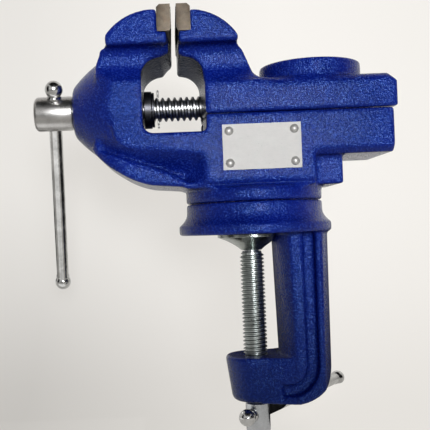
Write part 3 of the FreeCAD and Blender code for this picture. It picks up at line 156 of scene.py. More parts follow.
class Finish(Board):
    """A material with a Principled shader, a few handy patterns and fine relief."""

    def __init__(self, name, **fixed):
        self.material = bpy.data.materials.new(name)
        self.material.use_nodes = True
        super().__init__(self.material.node_tree)
        self.tree.nodes.clear()
        self.shader = self.tree.nodes.new("ShaderNodeBsdfPrincipled")
        self.shader.location = (2500, 0)
        output = self.tree.nodes.new("ShaderNodeOutputMaterial")
        output.location = (2800, 0)
        self.tree.links.new(self.shader.outputs[0], output.inputs[0])
        for socket, value in fixed.items():
            self.shader.inputs[socket.replace("_", " ")].default_value = value
        self.place = self.add("ShaderNodeTexCoord", out="Object")

    def wire(self, socket, value):
        """Lead a value into a socket of the shader."""
        self.tree.links.new(value.socket, self.shader.inputs[socket])

    def axis(self, letter):
        """One of the three surface coordinates."""
        return self.add("ShaderNodeSeparateXYZ", {}, {0: self.place}, out="XYZ".index(letter))

    def stretched(self, x, y, z):
        """The surface coordinates, drawn out along one direction."""
        return self.add("ShaderNodeMapping", {}, {"Vector": self.place, "Scale": (x, y, z)})

    def noise(self, grain, detail=3.0, rough=0.5, place=None):
        """Cloudy noise whose lumps are about grain millimetres across."""
        return self.add("ShaderNodeTexNoise", {}, {
            "Vector": place or self.place, "Scale": 1.0 / (grain * MM), "Detail": detail, "Roughness": rough})

    def cells(self, grain):
        """Distance to the nearest of many scattered points, about grain millimetres apart."""
        return self.add("ShaderNodeTexVoronoi", {}, {"Vector": self.place, "Scale": 1.0 / (grain * MM)})

    def between(self, value, low, high, to_low=0.0, to_high=1.0):
        """A value between two limits, spread over a new range and clipped there."""
        return self.add("ShaderNodeMapRange", {"clamp": True}, {
            "Value": value, "From Min": low, "From Max": high, "To Min": to_low, "To Max": to_high})

    def blend(self, share, first, second):
        """One colour over another: a share of 0 shows the first, and 1 the second."""
        values = {"Factor": share}
        for socket, colour in ((FIRST_COLOUR, first), (SECOND_COLOUR, second)):
            values[socket] = colour if isinstance(colour, Wire) else (*colour, 1.0)
        return self.add("ShaderNodeMix", {"data_type": "RGBA"}, values, out=MIXED_COLOUR)

    def relief(self, height, depth):
        """Fine relief, depth millimetres deep."""
        bump = self.add("ShaderNodeBump", {}, {"Height": height, "Distance": depth * MM, "Strength": 1.0})
        self.wire("Normal", bump)

    def radius_about(self, axis, centre):
        """Distance from a line along X, Y or Z through a point."""
        total = None
        for letter, middle in zip("XYZ", centre):
            if letter != axis:
                part = (self.axis(letter) - middle * MM) ** 2.0
                total = part if total is None else total + part
        return total ** 0.5


print("patterns of a finish:", "noise", "cells", "axis", "radius_about")

# %% [markdown]
# ## Blue enamel on cast iron
# The castings are sprayed with a thick glossy enamel straight over the sand-cast skin. Its surface is a fine
# orange peel over larger, softer lumps, so a broad light breaks up into thousands of small glints. Lighter crests
# of the peel in the colour are partly a random tone and partly a painted glint. The paint is thinner and lighter
# on ridges, and painted shade darkens it in hollows. The walls of the arch between the jaws get painted shade, a
# dull dark grey. The peel could be cut into the mesh, but at less than a millimetre it would take millions of
# faces, so it is relief in the finish. The glint of the paint is tinted blue on the shader's own Specular Tint.

# %% Colours of the enamel
BLUE_DEEP = (0.0014, 0.0080, 0.155)
BLUE_BODY = (0.0024, 0.0140, 0.255)
# The next colour is thin paint on ridges, and also painted glint on the crests of the peel.
BLUE_THIN_AND_GLINT = (0.0300, 0.0750, 0.420)
BLUE_GLINT = (0.215, 0.41, 1.0, 1.0)
# The next two colours are painted shade: one in hollows, one on the walls of the arch.
BLUE_HOLLOW_SHADE = (0.003, 0.006, 0.040)
ARCH_SHADE_GREY = (0.016, 0.018, 0.026)
print("deepest and thinnest blue:", BLUE_DEEP, BLUE_THIN_AND_GLINT)

# %% Where the arch walls get painted shade
# All in millimetres. Each pair is where the grey starts to fade in, and where it is full.
ARCH_MIDDLE = -38.0
ARCH_WALLS = (15.6, 14.9)  # to either side of the middle of the arch
ARCH_FLOOR = (49.6, 50.4)  # height
ARCH_MOUTH = (0.3, -0.3)  # past the depth that the arch has at that height
# The arch is deepest below the first height and shallowest above the second.
ARCH_HEIGHTS = (62.0, 74.0)
ARCH_DEPTHS = (25.6, 19.4)


# Painted shade: the walls of the arch between the jaws are painted a dull dark grey.
def arch_wall_shade(paint):
    """A mask that is 1 on the walls of the arch and 0 on the rest of the castings."""
    low, high = (level * MM for level in ARCH_HEIGHTS)
    deep, shallow = (depth * MM for depth in ARCH_DEPTHS)
    depth = paint.between(paint.axis("Z"), low, high, deep, shallow)
    sideways = (paint.axis("X") - ARCH_MIDDLE * MM).size()
    return (paint.between(sideways, ARCH_WALLS[0] * MM, ARCH_WALLS[1] * MM)
            * paint.between(paint.axis("Y").size() - depth, ARCH_MOUTH[0] * MM, ARCH_MOUTH[1] * MM)
            * paint.between(paint.axis("Z"), ARCH_FLOOR[0] * MM, ARCH_FLOOR[1] * MM))


print("arch walls, from the middle in mm:", ARCH_WALLS)


# %% Enamel
def enamel(name):
    """Glossy paint with orange peel. The noises' first number is the size of their lumps in millimetres."""
    paint = Finish(name, Specular_IOR_Level=0.62, Specular_Tint=BLUE_GLINT, Coat_Roughness=0.12, Coat_IOR=1.4)
    lumps = paint.noise(6.0, 3.0, 0.5)
    peel = paint.noise(0.92, 1.5, 0.6)
    fine = paint.noise(0.5, 1.0, 0.5)
    drift = paint.noise(38.0, 2.0, 0.5)
    ridge = paint.add("ShaderNodeNewGeometry", out="Pointiness")
    worn = paint.between(ridge + (lumps - 0.5) * 0.05, 0.530, 0.600)
    # Painted shade: hollows, where the surface is least pointy, are darkened.
    hollow_shade = paint.between(ridge, 0.490, 0.430)
    # Lighter crests of the peel: partly a random tone of the paint, partly a painted glint.
    crest = paint.between(peel + (fine - 0.5) * 0.3, 0.52, 0.66)
    body = paint.blend(paint.between(drift * 0.5 + peel * 0.5, 0.40, 0.60), BLUE_DEEP, BLUE_BODY)
    body = paint.blend(crest * 0.40, body, BLUE_THIN_AND_GLINT)
    body = paint.blend(worn * 0.5, body, BLUE_THIN_AND_GLINT)
    # Painted shade in the hollows.
    body = paint.blend(hollow_shade * 0.5, body, BLUE_HOLLOW_SHADE)
    # Painted shade on the walls of the arch.
    body = paint.blend(arch_wall_shade(paint), body, ARCH_SHADE_GREY)
    paint.wire("Base Color", body)
    paint.wire("Roughness", paint.between(peel, 0.35, 0.65, 0.17, 0.10))
    paint.wire("Coat Weight", paint.between(lumps, 0.3, 0.7, 0.03, 0.01))
    paint.relief(peel * 2.0 + lumps * 0.8 + fine * 0.3, 0.30)
    return paint.material


blue = enamel("blue_enamel")
print("enamel nodes:", len(blue.node_tree.nodes))

# %% [markdown]
# ## Bare and plated steel
# Steel shows how it was worked: lines round a turned screw, lines along a drawn bar, a cloudy bloom on zinc
# plating, brown stain on ground jaw plates that were wiped with oil. Each metal could have a tree of its own, but
# they differ in numbers only. So one recipe takes the direction of the lines and the two colours between which
# the surface drifts.

# %% Steel
STAIN_BROWN = (0.10, 0.055, 0.028)
SPECK_DARK = (0.05, 0.045, 0.04)
ROUGH_SPREAD = (-0.07, 0.09)  # how much smoother and rougher than its mean a surface gets


def steel(name, light, dark, rough, lines, stain=0.0, relief=0.02, blotch=9.0, bare=1.0):
    """A worked metal.

    light, dark: the two colours it drifts between, in blotches of so many millimetres.
    rough: mean roughness. lines: how much finer the pattern is along X, Y and Z.
    stain: share of brown. relief: depth in millimetres. bare: 1 for clean metal, less under a dull skin.
    """
    metal = Finish(name, Metallic=bare)
    drawn = metal.noise(1.0, 4.0, 0.65, place=metal.stretched(*lines))
    cloud = metal.noise(blotch, 4.0, 0.6)
    specks = metal.between(metal.cells(2.6), 0.10, 0.04)
    share = metal.between(cloud * 0.7 + drawn * 0.3, 0.35, 0.65)
    colour = metal.blend(share, dark, light)
    if stain:
        patch = metal.between(metal.noise(4.0, 5.0, 0.7), 0.52, 0.70)
        colour = metal.blend(patch * stain, colour, STAIN_BROWN)
    colour = metal.blend(specks * 0.35, colour, SPECK_DARK)
    metal.wire("Base Color", colour)
    smoother, rougher = (rough + change for change in ROUGH_SPREAD)
    metal.wire("Roughness", metal.between(drawn * 0.5 + cloud * 0.5, 0.3, 0.7, smoother, rougher))
    metal.relief(drawn + specks * -0.6, relief)
    return metal


# %% The metals of this vise
bar_steel = steel("bar_steel", (0.76, 0.76, 0.75), (0.44, 0.44, 0.43), 0.17, (0.5, 0.5, 0.5), relief=0.02)
head_steel = steel("turned_head", (0.66, 0.65, 0.63), (0.42, 0.41, 0.40), 0.29, (7.0, 1.0, 1.0), relief=0.03)
zinc_steel = steel("zinc_plate", (0.72, 0.74, 0.76), (0.50, 0.52, 0.54), 0.30, (1.0, 1.0, 4.0), relief=0.03)
pad_zinc = steel("pad_zinc", (0.62, 0.64, 0.60), (0.30, 0.34, 0.33), 0.22, (1.0, 1.0, 1.0), relief=0.04)
jaw_steel = steel("jaw_steel", (0.120, 0.100, 0.078), (0.055, 0.045, 0.035), 0.46, (2.0, 0.6, 2.0), stain=0.35,
                  relief=0.06, blotch=2.6)
jaw_edge_steel = steel("jaw_edge", (0.46, 0.43, 0.38), (0.24, 0.22, 0.19), 0.36, (2.0, 0.6, 2.0), relief=0.04,
                       blotch=1.6)
plate_metal = steel("bare_aluminium", (0.56, 0.54, 0.52), (0.43, 0.42, 0.40), 0.50, (0.35, 3.0, 3.0),
                    relief=0.035, blotch=6.0, bare=0.15)
rivet_metal = steel("rivet_metal", (0.66, 0.64, 0.61), (0.50, 0.49, 0.47), 0.42, (1.0, 1.0, 1.0), relief=0.03,
                    bare=0.55)
dark_steel = steel("blackened_steel", (0.10, 0.10, 0.11), (0.035, 0.035, 0.04), 0.34, (1.0, 1.0, 1.0),
                   relief=0.04)
plain_steel = steel("machined_steel", (0.55, 0.55, 0.56), (0.38, 0.38, 0.39), 0.36, (0.4, 3.0, 3.0), stain=0.2)
print("materials so far:", len(bpy.data.materials))

# %% [markdown]
# ## Threads hold dirt and painted shade
# A thread is bright on its crests and in its wiped roots, and dark on its flanks, partly from oil and grit and
# partly from painted shade. Crests and flanks could be given materials of their own, but the darkening has no
# sharp edge. The distance from the screw's own axis tells them apart, so one finish does and it needs no map of
# the thread.

# %% Thread finishes
def thread_steel(name, axis, centre, root, crest, light, dark, rough, dirt_and_shade):
    """Steel that is darker between root and crest, which are radii in millimetres, from dirt and painted shade;
    dirt_and_shade darkens its dark colour.
    """
    metal = steel(name, light, dark, rough, (1.0, 1.0, 1.0), relief=0.03)
    depth = metal.between(metal.radius_about(axis, centre), root * MM, crest * MM)
    mottle = metal.noise(3.0, 3.0, 0.6)
    level = depth + (mottle - 0.5) * 0.3
    # Bright near root and crest and darker between: the flanks get dirt and painted shade.
    clean = metal.between(level, 0.30, 0.12).most(metal.between(level, 0.62, 0.85))
    bright = Wire(metal, metal.shader.inputs["Base Color"].links[0].from_socket)
    metal.wire("Base Color", metal.blend(clean, tuple(value * dirt_and_shade for value in dark), bright))
    return metal


# %% Where the screws lie
LEAD_LEVEL = 63.4  # height of the lead screw, which runs along X
CLAMP_AXIS = -2.0  # place along X of the clamp screw, which stands upright
lead_thread_steel = thread_steel("lead_thread", "X", (0, 0, LEAD_LEVEL), 4.4, 6.0,
                                 (0.60, 0.60, 0.60), (0.30, 0.30, 0.31), 0.30, 0.35)
clamp_thread_steel = thread_steel("clamp_thread", "Z", (CLAMP_AXIS, 0, 0), 4.9, 6.0,
                                  (0.66, 0.70, 0.68), (0.44, 0.48, 0.47), 0.30, 0.34)
print("lead screw at height", LEAD_LEVEL, "and clamp screw at", CLAMP_AXIS)

# %% [markdown]
# ## Soft edges of a casting
# Molten iron never fills a sharp corner, and thick paint rounds what is left. A Bevel modifier rounds ridges only,
# and it trips over the many small faces of an engineering mesh. So a copy of each cast solid is welded, remeshed
# into an even skin and relaxed a little, which rounds ridges and fills inner corners by half a millimetre. The
# copy stands in for the sharp solid, which stays underneath for the physics.

# %% Copy a solid as one welded mesh
WELD = 0.002  # corners closer than this, in millimetres, become one


def welded_copy(node, name):
    """A copy of a solid's mesh whose loose triangles share their corners."""
    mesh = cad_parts[node].data.copy()
    mesh.name = name
    mesh.materials.clear()
    shape = bmesh.new()
    shape.from_mesh(mesh)
    bmesh.ops.remove_doubles(shape, verts=shape.verts, dist=WELD * MM)
    shape.to_mesh(mesh)
    shape.free()
    piece = bpy.data.objects.new(name, mesh)
    bpy.context.scene.collection.objects.link(piece)
    return piece


print("solids to dress:", len(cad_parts))


# %% Three small helpers
def settle(piece):
    """Turn the modifiers of a piece into plain mesh."""
    depsgraph = bpy.context.evaluated_depsgraph_get()
    solid = bpy.data.meshes.new_from_object(piece.evaluated_get(depsgraph))
    piece.modifiers.clear()
    old = piece.data
    piece.data = solid
    bpy.data.meshes.remove(old)
    piece.data.name = piece.name


def smooth_all(piece, angle=None):
    """Shade a mesh smooth, or smooth only where faces meet flatter than an angle."""
    for face in piece.data.polygons:
        face.use_smooth = True
    if angle is not None:
        piece.data.set_sharp_from_angle(angle=math.radians(angle))
    return piece


def paint_with(piece, finish):
    """Give a piece one material."""
    piece.data.materials.clear()
    piece.data.materials.append(finish if isinstance(finish, bpy.types.Material) else finish.material)
    return piece


# %% The three cast skins
def cast_skin(node, body, grain, passes):
    """An even skin of grain millimetres over a casting, relaxed a number of times."""
    piece = welded_copy(node, node + "_skin")
    remesh = piece.modifiers.new("even_skin", "REMESH")
    remesh.mode = "VOXEL"
    remesh.voxel_size = grain * MM
    relax = piece.modifiers.new("relaxed", "SMOOTH")
    relax.factor = 0.5
    relax.iterations = passes
    settle(piece)
    smooth_all(piece)
    paint_with(piece, blue)
    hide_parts(node)
    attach(piece, body)
    print(piece.name, "triangles:", sum(len(face.vertices) - 2 for face in piece.data.polygons))


cast_skin("clamp_frame", "clamp_base", 0.85, 5)
cast_skin("vise_body_casting", "vise_body", 0.95, 5)
cast_skin("sliding_jaw_casting", "sliding_jaw", 0.85, 5)

# %% [markdown]
# ## Screw threads from one rule
# A thread repeats the same wedge along a helix. It could be relief in the finish, but then the outline of the
# screw would stay straight. A Screw modifier would do too, but it can't fade a thread out. Geometry Nodes can:
# the tree takes a length, a pitch and two radii, sweeps a four-cornered wedge along a spiral, and joins it to a
# round core. The wedge shrinks to nothing at both ends, as a cut thread runs out. Both screws use the tree.

# %% The thread tree
WEDGE_SUNK = -0.25  # how far the foot of the wedge lies in the core, over the height of the thread
WEDGE_FOOT = 0.44  # half the width of its foot, over the pitch
RUN_OUT = 1.6  # the thread reaches its full height after 1 / RUN_OUT turns


def thread_tree():
    """A threaded length that stands on the origin. Flat is half the width of its crest over the pitch."""
    tree = bpy.data.node_groups.new("screw_thread", "GeometryNodeTree")
    for name, kind in (("Length", "NodeSocketFloat"), ("Pitch", "NodeSocketFloat"), ("Root", "NodeSocketFloat"),
                       ("Crest", "NodeSocketFloat"), ("Flat", "NodeSocketFloat"), ("Steel", "NodeSocketMaterial")):
        tree.interface.new_socket(name=name, in_out="INPUT", socket_type=kind)
    tree.interface.new_socket(name="Geometry", in_out="OUTPUT", socket_type="NodeSocketGeometry")
    board = Board(tree)
    given = board.add("NodeGroupInput").socket.node.outputs
    length, pitch, root, crest, flat, metal = [Wire(board, given[i]) for i in range(6)]
    turns = length / pitch
    spiral = board.add("GeometryNodeCurveSpiral", {}, {
        "Resolution": 40, "Rotations": turns, "Start Radius": root, "End Radius": root, "Height": length,
        "Reverse": True})
    upright = board.add("GeometryNodeSetCurveNormal", {"mode": "Z_UP"}, {"Curve": spiral})
    depth = crest - root
    corners = []
    for out, half, side in ((WEDGE_SUNK, WEDGE_FOOT, 1.0), (1.0, flat, 1.0),
                            (1.0, flat, -1.0), (WEDGE_SUNK, WEDGE_FOOT, -1.0)):
        corners.append(board.add("ShaderNodeCombineXYZ", {}, {"X": depth * out, "Y": pitch * half * side}))
    wedge = board.add("GeometryNodeCurvePrimitiveQuadrilateral", {"mode": "POINTS"}, {
        "Point %d" % (i + 1): corner for i, corner in enumerate(corners)})
    along = board.add("GeometryNodeSplineParameter", out="Factor")
    fade = (along * turns * RUN_OUT).least((1.0 - along) * turns * RUN_OUT).least(1.0)
    ridge = board.add("GeometryNodeCurveToMesh", {}, {
        "Curve": upright, "Profile Curve": wedge, "Scale": fade, "Fill Caps": True})
    core = board.add("GeometryNodeMeshCylinder", {}, {
        "Vertices": 48, "Side Segments": 1, "Radius": root, "Depth": length})
    lift = board.add("ShaderNodeCombineXYZ", {}, {"Z": length * 0.5})
    core = board.add("GeometryNodeTransform", {}, {"Geometry": core, "Translation": lift})
    joined = board.add("GeometryNodeJoinGeometry", {}, {"Geometry": ridge})
    tree.links.new(core.socket, joined.socket.node.inputs["Geometry"])
    real = board.add("GeometryNodeRealizeInstances", {}, {"Geometry": joined})
    finished = board.add("GeometryNodeSetMaterial", {}, {"Geometry": real, "Material": metal})
    board.add("NodeGroupOutput", {}, {"Geometry": finished})
    return tree


screw_thread = thread_tree()
print("thread tree nodes:", len(screw_thread.nodes))


# %% Set a modifier's inputs by their identifiers
def feed(modifier, values):
    """Fill the named inputs of a Geometry Nodes modifier."""
    for item in modifier.node_group.interface.items_tree:
        if item.item_type == "SOCKET" and item.in_out == "INPUT" and item.name in values:
            modifier[item.identifier] = values[item.name]


def thread(name, start, end, pitch, root, crest, metal, turn, flat):
    """A threaded length from start to end along Z, in millimetres, then turned and moved by a matrix."""
    piece = bpy.data.objects.new(name, bpy.data.meshes.new(name))
    bpy.context.scene.collection.objects.link(piece)
    modifier = piece.modifiers.new("thread", "NODES")
    modifier.node_group = screw_thread
    feed(modifier, {"Length": (end - start) * MM, "Pitch": pitch * MM, "Root": root * MM, "Crest": crest * MM,
                    "Flat": flat, "Steel": metal.material})
    settle(piece)
    piece.data.transform(turn @ Matrix.Translation((0, 0, start * MM)))
    print(name, "vertices:", len(piece.data.vertices))
    return smooth_all(piece, 32)

# %% [markdown]
# ## Turned pieces
# Heads, bars and balls come off a lathe. Cylinders and spheres could be joined up, but each join would need
# mending. A half outline spun about an axis gives every one of them as one closed mesh, with the small things a
# lathe leaves: a chamfer, a neck below a ball, a slightly domed end. A cross hole is then drilled with a Boolean.

# %% A lathe
def lathe(name, outline, turn, sides=72):
    """Spin (along, radius) pairs in millimetres about Z, then turn and move the result by a matrix."""
    shape = bmesh.new()
    rings = []
    for along, radius in outline:
        if radius == 0:
            rings.append([shape.verts.new((0, 0, along * MM))])
            continue
        ring = []
        for i in range(sides):
            angle = 2 * math.pi * i / sides
            ring.append(shape.verts.new((
                math.cos(angle) * radius * MM, math.sin(angle) * radius * MM, along * MM)))
        rings.append(ring)
    for low, high in zip(rings, rings[1:]):
        for i in range(sides):
            after = (i + 1) % sides
            if len(low) == 1:
                shape.faces.new((low[0], high[after], high[i]))
            elif len(high) == 1:
                shape.faces.new((low[i], low[after], high[0]))
            else:
                shape.faces.new((low[i], low[after], high[after], high[i]))
    bmesh.ops.recalc_face_normals(shape, faces=shape.faces)
    mesh = bpy.data.meshes.new(name)
    shape.to_mesh(mesh)
    shape.free()
    mesh.transform(turn)
    piece = bpy.data.objects.new(name, mesh)
    bpy.context.scene.collection.objects.link(piece)
    print(name, "faces:", len(mesh.polygons))
    return piece


# %% Aiming and drilling
BIT_REACH = 20
BIT_SIDES = 48


def aimed(point, direction):
    """A matrix that takes the Z axis to a direction through a point, in millimetres."""
    turn = Vector(direction).to_track_quat("Z", "Y").to_matrix().to_4x4()
    return Matrix.Translation(Vector(point) * MM) @ turn


def drill_across(piece, radius, point, direction):
    """Drill a round hole through a head, about a line in millimetres, and put the bit away."""
    outline = [(-BIT_REACH, 0), (-BIT_REACH, radius), (BIT_REACH, radius), (BIT_REACH, 0)]
    bit = lathe("bit", outline, aimed(point, direction), BIT_SIDES)
    cut = piece.modifiers.new("drilled", "BOOLEAN")
    cut.operation = "DIFFERENCE"
    cut.solver = "EXACT"
    cut.object = bit
    settle(piece)
    bpy.data.objects.remove(bit)


# %% The lead screw
LEAN = math.radians(34.0)  # the bar's upper end leans towards the viewer
SLANT = math.radians(5.0)  # and a little to the right
LEAD_BAR_X = -97.5
lead_cross = (LEAD_BAR_X, 0, LEAD_LEVEL)
lead_way = (math.cos(LEAN) * math.sin(SLANT), -math.sin(LEAN), math.cos(LEAN) * math.cos(SLANT))
along_x = aimed((0, 0, LEAD_LEVEL), (1, 0, 0))
lead_head = lathe("lead_screw_head", [
    (-107.0, 0), (-107.0, 7.2), (-106.7, 7.7), (-106.1, 8.2), (-105.4, 8.5), (-88.9, 8.5), (-88.1, 8.2),
    (-87.8, 7.6), (-87.8, 6.0), (-53.5, 6.0), (-53.2, 5.7), (-53.2, 0)], along_x)
drill_across(lead_head, 3.4, lead_cross, lead_way)
smooth_all(lead_head, 30)
paint_with(lead_head, head_steel)
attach(lead_head, "lead_screw")
lead_thread = thread("lead_screw_thread", -53.3, 46.9, 3.0, 4.45, 5.97, lead_thread_steel, along_x, 0.13)
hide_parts("lead_screw")
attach(lead_thread, "lead_screw")

# %% The clamp screw
CLAMP_TURN = math.radians(35.0)  # the bar points away from the viewer and to the right
CLAMP_BAR_LEVEL = -90.0
clamp_cross = (CLAMP_AXIS, 0, CLAMP_BAR_LEVEL)
clamp_way = (math.sin(CLAMP_TURN), math.cos(CLAMP_TURN), 0.0)
upright = aimed((CLAMP_AXIS, 0, 0), (0, 0, 1))
clamp_thread = thread("clamp_screw_thread", -84.0, -9.4, 1.9, 4.95, 5.97, clamp_thread_steel, upright, 0.10)
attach(clamp_thread, "clamp_screw")
clamp_foot = lathe("clamp_screw_foot", [
    (-99.5, 0), (-99.5, 4.8), (-99.2, 5.4), (-98.6, 5.8), (-97.9, 6.0), (-84.6, 6.0), (-83.6, 5.3), (-83.2, 4.6),
    (-83.2, 0)], upright)
drill_across(clamp_foot, 3.12, clamp_cross, clamp_way)
smooth_all(clamp_foot, 30)
paint_with(clamp_foot, zinc_steel)
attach(clamp_foot, "clamp_screw")
clamp_tip = lathe("clamp_screw_tip", [
    (-9.9, 0), (-9.9, 4.6), (-9.3, 4.9), (-8.8, 4.6), (-8.7, 3.6), (-5.85, 3.6), (-5.8, 4.6), (-5.5, 5.1),
    (-5.0, 5.2), (-4.3, 4.6), (-3.8, 3.2), (-3.7, 0)], upright)
smooth_all(clamp_tip, 40)
paint_with(clamp_tip, zinc_steel)
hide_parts("clamp_screw")
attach(clamp_tip, "clamp_screw")

# %% [markdown]
# ## Sliding bars
# Each screw is turned with a plain round bar that slides through its head and is kept in by a ball at both ends.
# The balls are upset from the bar itself, and a small collar shows where each was formed. Three solids stand for
# the bar and its balls in the model. One outline on the lathe replaces all three, so no seam shows at the neck.

# %% The outline of a ball
BALL_STEPS = 14


def ball_curve(centre, radius, start, end):
    """(along, radius) pairs on a ball, between two angles in degrees from the lower pole."""
    points = []
    for i in range(BALL_STEPS + 1):
        angle = math.radians(start + (end - start) * i / BALL_STEPS)
        points.append((centre - math.cos(angle) * radius, math.sin(angle) * radius))
    return points


# %% Bars
BAR_SIDES = 56
NECK = 0.93  # radius where ball and collar meet, over the bar's
COLLAR = ((0.25, 0.95), (0.7, 1.1), (1.4, 1.1), (1.9, 1.0))  # distance from the ball in mm, radius over the bar's


def sliding_bar(name, body, node, at, way, low, high, radius, ball):
    """A bar with a ball at each end; low and high are the balls' centres along it, and ball is their radius."""
    turn = aimed(at, way)
    root = math.degrees(math.asin(radius * NECK / ball))
    low_end = ball_curve(low, ball, 0, 180 - root)
    high_end = ball_curve(high, ball, root, 180)
    neck = low_end[-1][0]
    collar = [(neck + along, radius * share) for along, share in COLLAR]
    other = [(low + high - along, size) for along, size in reversed(collar)]
    piece = lathe(name, low_end + collar + other + high_end, turn, BAR_SIDES)
    smooth_all(piece, 50)
    paint_with(piece, bar_steel)
    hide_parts(node, node + "_ball_low", node + "_ball_high")
    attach(piece, body)


sliding_bar("lead_tommy_bar", "lead_handle", "lead_bar", lead_cross, lead_way, -106.0, 13.2, 3.25, 4.38)
sliding_bar("clamp_tommy_bar", "clamp_handle", "clamp_bar", clamp_cross, clamp_way, -10.6, 99.0, 3.0, 4.18)

# %% [markdown]
# ## Small machined pieces
# Washers, screws and the pad keep their engineering shape. They could be used as they are, but a real edge always
# catches a line of light, so each gets a welded copy with a narrow bevel. The nameplate is thin sheet, whose edge
# is too fine for a bevel, and its copy stays sharp.

# %% Bevelled copies
SHARP_FROM = 20  # degrees: flatter bends are shaded smooth
BEVEL_FROM = 35  # degrees: sharper edges are bevelled


def eased(node, body, finish, width):
    """A copy with narrow bevels of width millimetres. A width of 0 leaves thin sheet as it is."""
    piece = welded_copy(node, node + "_eased")
    smooth_all(piece, SHARP_FROM)
    if width:
        bevel = piece.modifiers.new("edge", "BEVEL")
        bevel.width = width * MM
        bevel.segments = 2
        bevel.limit_method = "ANGLE"
        bevel.angle_limit = math.radians(BEVEL_FROM)
        bevel.harden_normals = True
        settle(piece)
    paint_with(piece, finish)
    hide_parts(node)
    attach(piece, body)
    print(piece.name, "faces:", len(piece.data.polygons))


# %% The pieces that are eased
eased("thrust_washer", "lead_screw", dark_steel, 0.35)
eased("retaining_washer", "lead_screw", dark_steel, 0.2)
eased("nameplate", "vise_body", plate_metal, 0)
eased("clamp_pad", "clamp_pad", pad_zinc, 0.2)
eased("pivot_washer", "vise_body", zinc_steel, 0.2)
eased("pivot_bolt", "vise_body", zinc_steel, 0.3)
eased("lead_nut", "sliding_jaw", plain_steel, 0.3)
eased("keel_strip", "sliding_jaw", plain_steel, 0.3)
for number in (1, 2):
    eased("keel_screw_%d" % number, "sliding_jaw", zinc_steel, 0.2)
for side in ("near", "far"):
    eased("fixed_jaw_screw_" + side, "vise_body", dark_steel, 0.15)
    eased("sliding_jaw_screw_" + side, "sliding_jaw", dark_steel, 0.15)

# %% A finish for the solids that stay
for number in range(1, 5):
    rivet = paint_with(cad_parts["nameplate_rivet_%d" % number], rivet_metal)
    print(rivet.name, "wears", rivet_metal.material.name)

# %% [markdown]
# ## Jaw plates
# A jaw plate is a ground bar of hard steel whose grip face is milled into rows of small pyramids. The grooves
# could be cut one by one with Booleans, which is slow. Here the bar is a copy with narrow bevels, set back from
# the grip face by the depth of the teeth. Geometry Nodes then stand one four-sided point on each place of a grid,
# so a single point of five corners gives hundreds of teeth.

# %% The tooth tree
POINT_SUNK = -0.1  # how far a tooth is sunk in the plate, over its height


def teeth_tree():
    """Rows of four-sided points in a rectangle about the origin, pointing up Z."""
    tree = bpy.data.node_groups.new("grip_teeth", "GeometryNodeTree")
    for name, kind in (("Width", "NodeSocketFloat"), ("Height", "NodeSocketFloat"), ("Across", "NodeSocketInt"),
                       ("Up", "NodeSocketInt"), ("Depth", "NodeSocketFloat"), ("Steel", "NodeSocketMaterial")):
        tree.interface.new_socket(name=name, in_out="INPUT", socket_type=kind)
    tree.interface.new_socket(name="Geometry", in_out="OUTPUT", socket_type="NodeSocketGeometry")
    board = Board(tree)
    given = board.add("NodeGroupInput").socket.node.outputs
    width, height, across, up, depth, metal = [Wire(board, given[i]) for i in range(6)]
    grid = board.add("GeometryNodeMeshGrid", {}, {
        "Size X": width * (1.0 - 1.0 / across), "Size Y": height * (1.0 - 1.0 / up),
        "Vertices X": across, "Vertices Y": up})
    point = board.add("GeometryNodeMeshCone", {"fill_type": "NGON"}, {
        "Vertices": 4, "Radius Top": 0.0, "Radius Bottom": math.sqrt(0.5), "Depth": 1.0})
    quarter_turn = board.add("GeometryNodeTransform", {}, {
        "Geometry": point, "Rotation": (0.0, 0.0, math.pi / 4), "Translation": (0.0, 0.0, POINT_SUNK)})
    pitch = board.add("ShaderNodeCombineXYZ", {}, {"X": width / across, "Y": height / up, "Z": depth})
    teeth = board.add("GeometryNodeInstanceOnPoints", {}, {
        "Points": grid, "Instance": quarter_turn, "Scale": pitch})
    real = board.add("GeometryNodeRealizeInstances", {}, {"Geometry": teeth})
    finished = board.add("GeometryNodeSetMaterial", {}, {"Geometry": real, "Material": metal})
    board.add("NodeGroupOutput", {}, {"Geometry": finished})
    return tree


grip_teeth = teeth_tree()
print("tooth tree nodes:", len(grip_teeth.nodes))

# %% The two jaw plates
TOOTH_DEPTH = 0.30
TOOTH_PITCH = 1.3
PLAIN_RIM = 1.6  # what the rows leave free, both sides together
FACE_ZONE = 0.9  # corners this close to the grip face are set back with it
GROUND_EDGE = 0.28
GROUND_FROM = 25  # degrees: sharper edges of the bar are ground


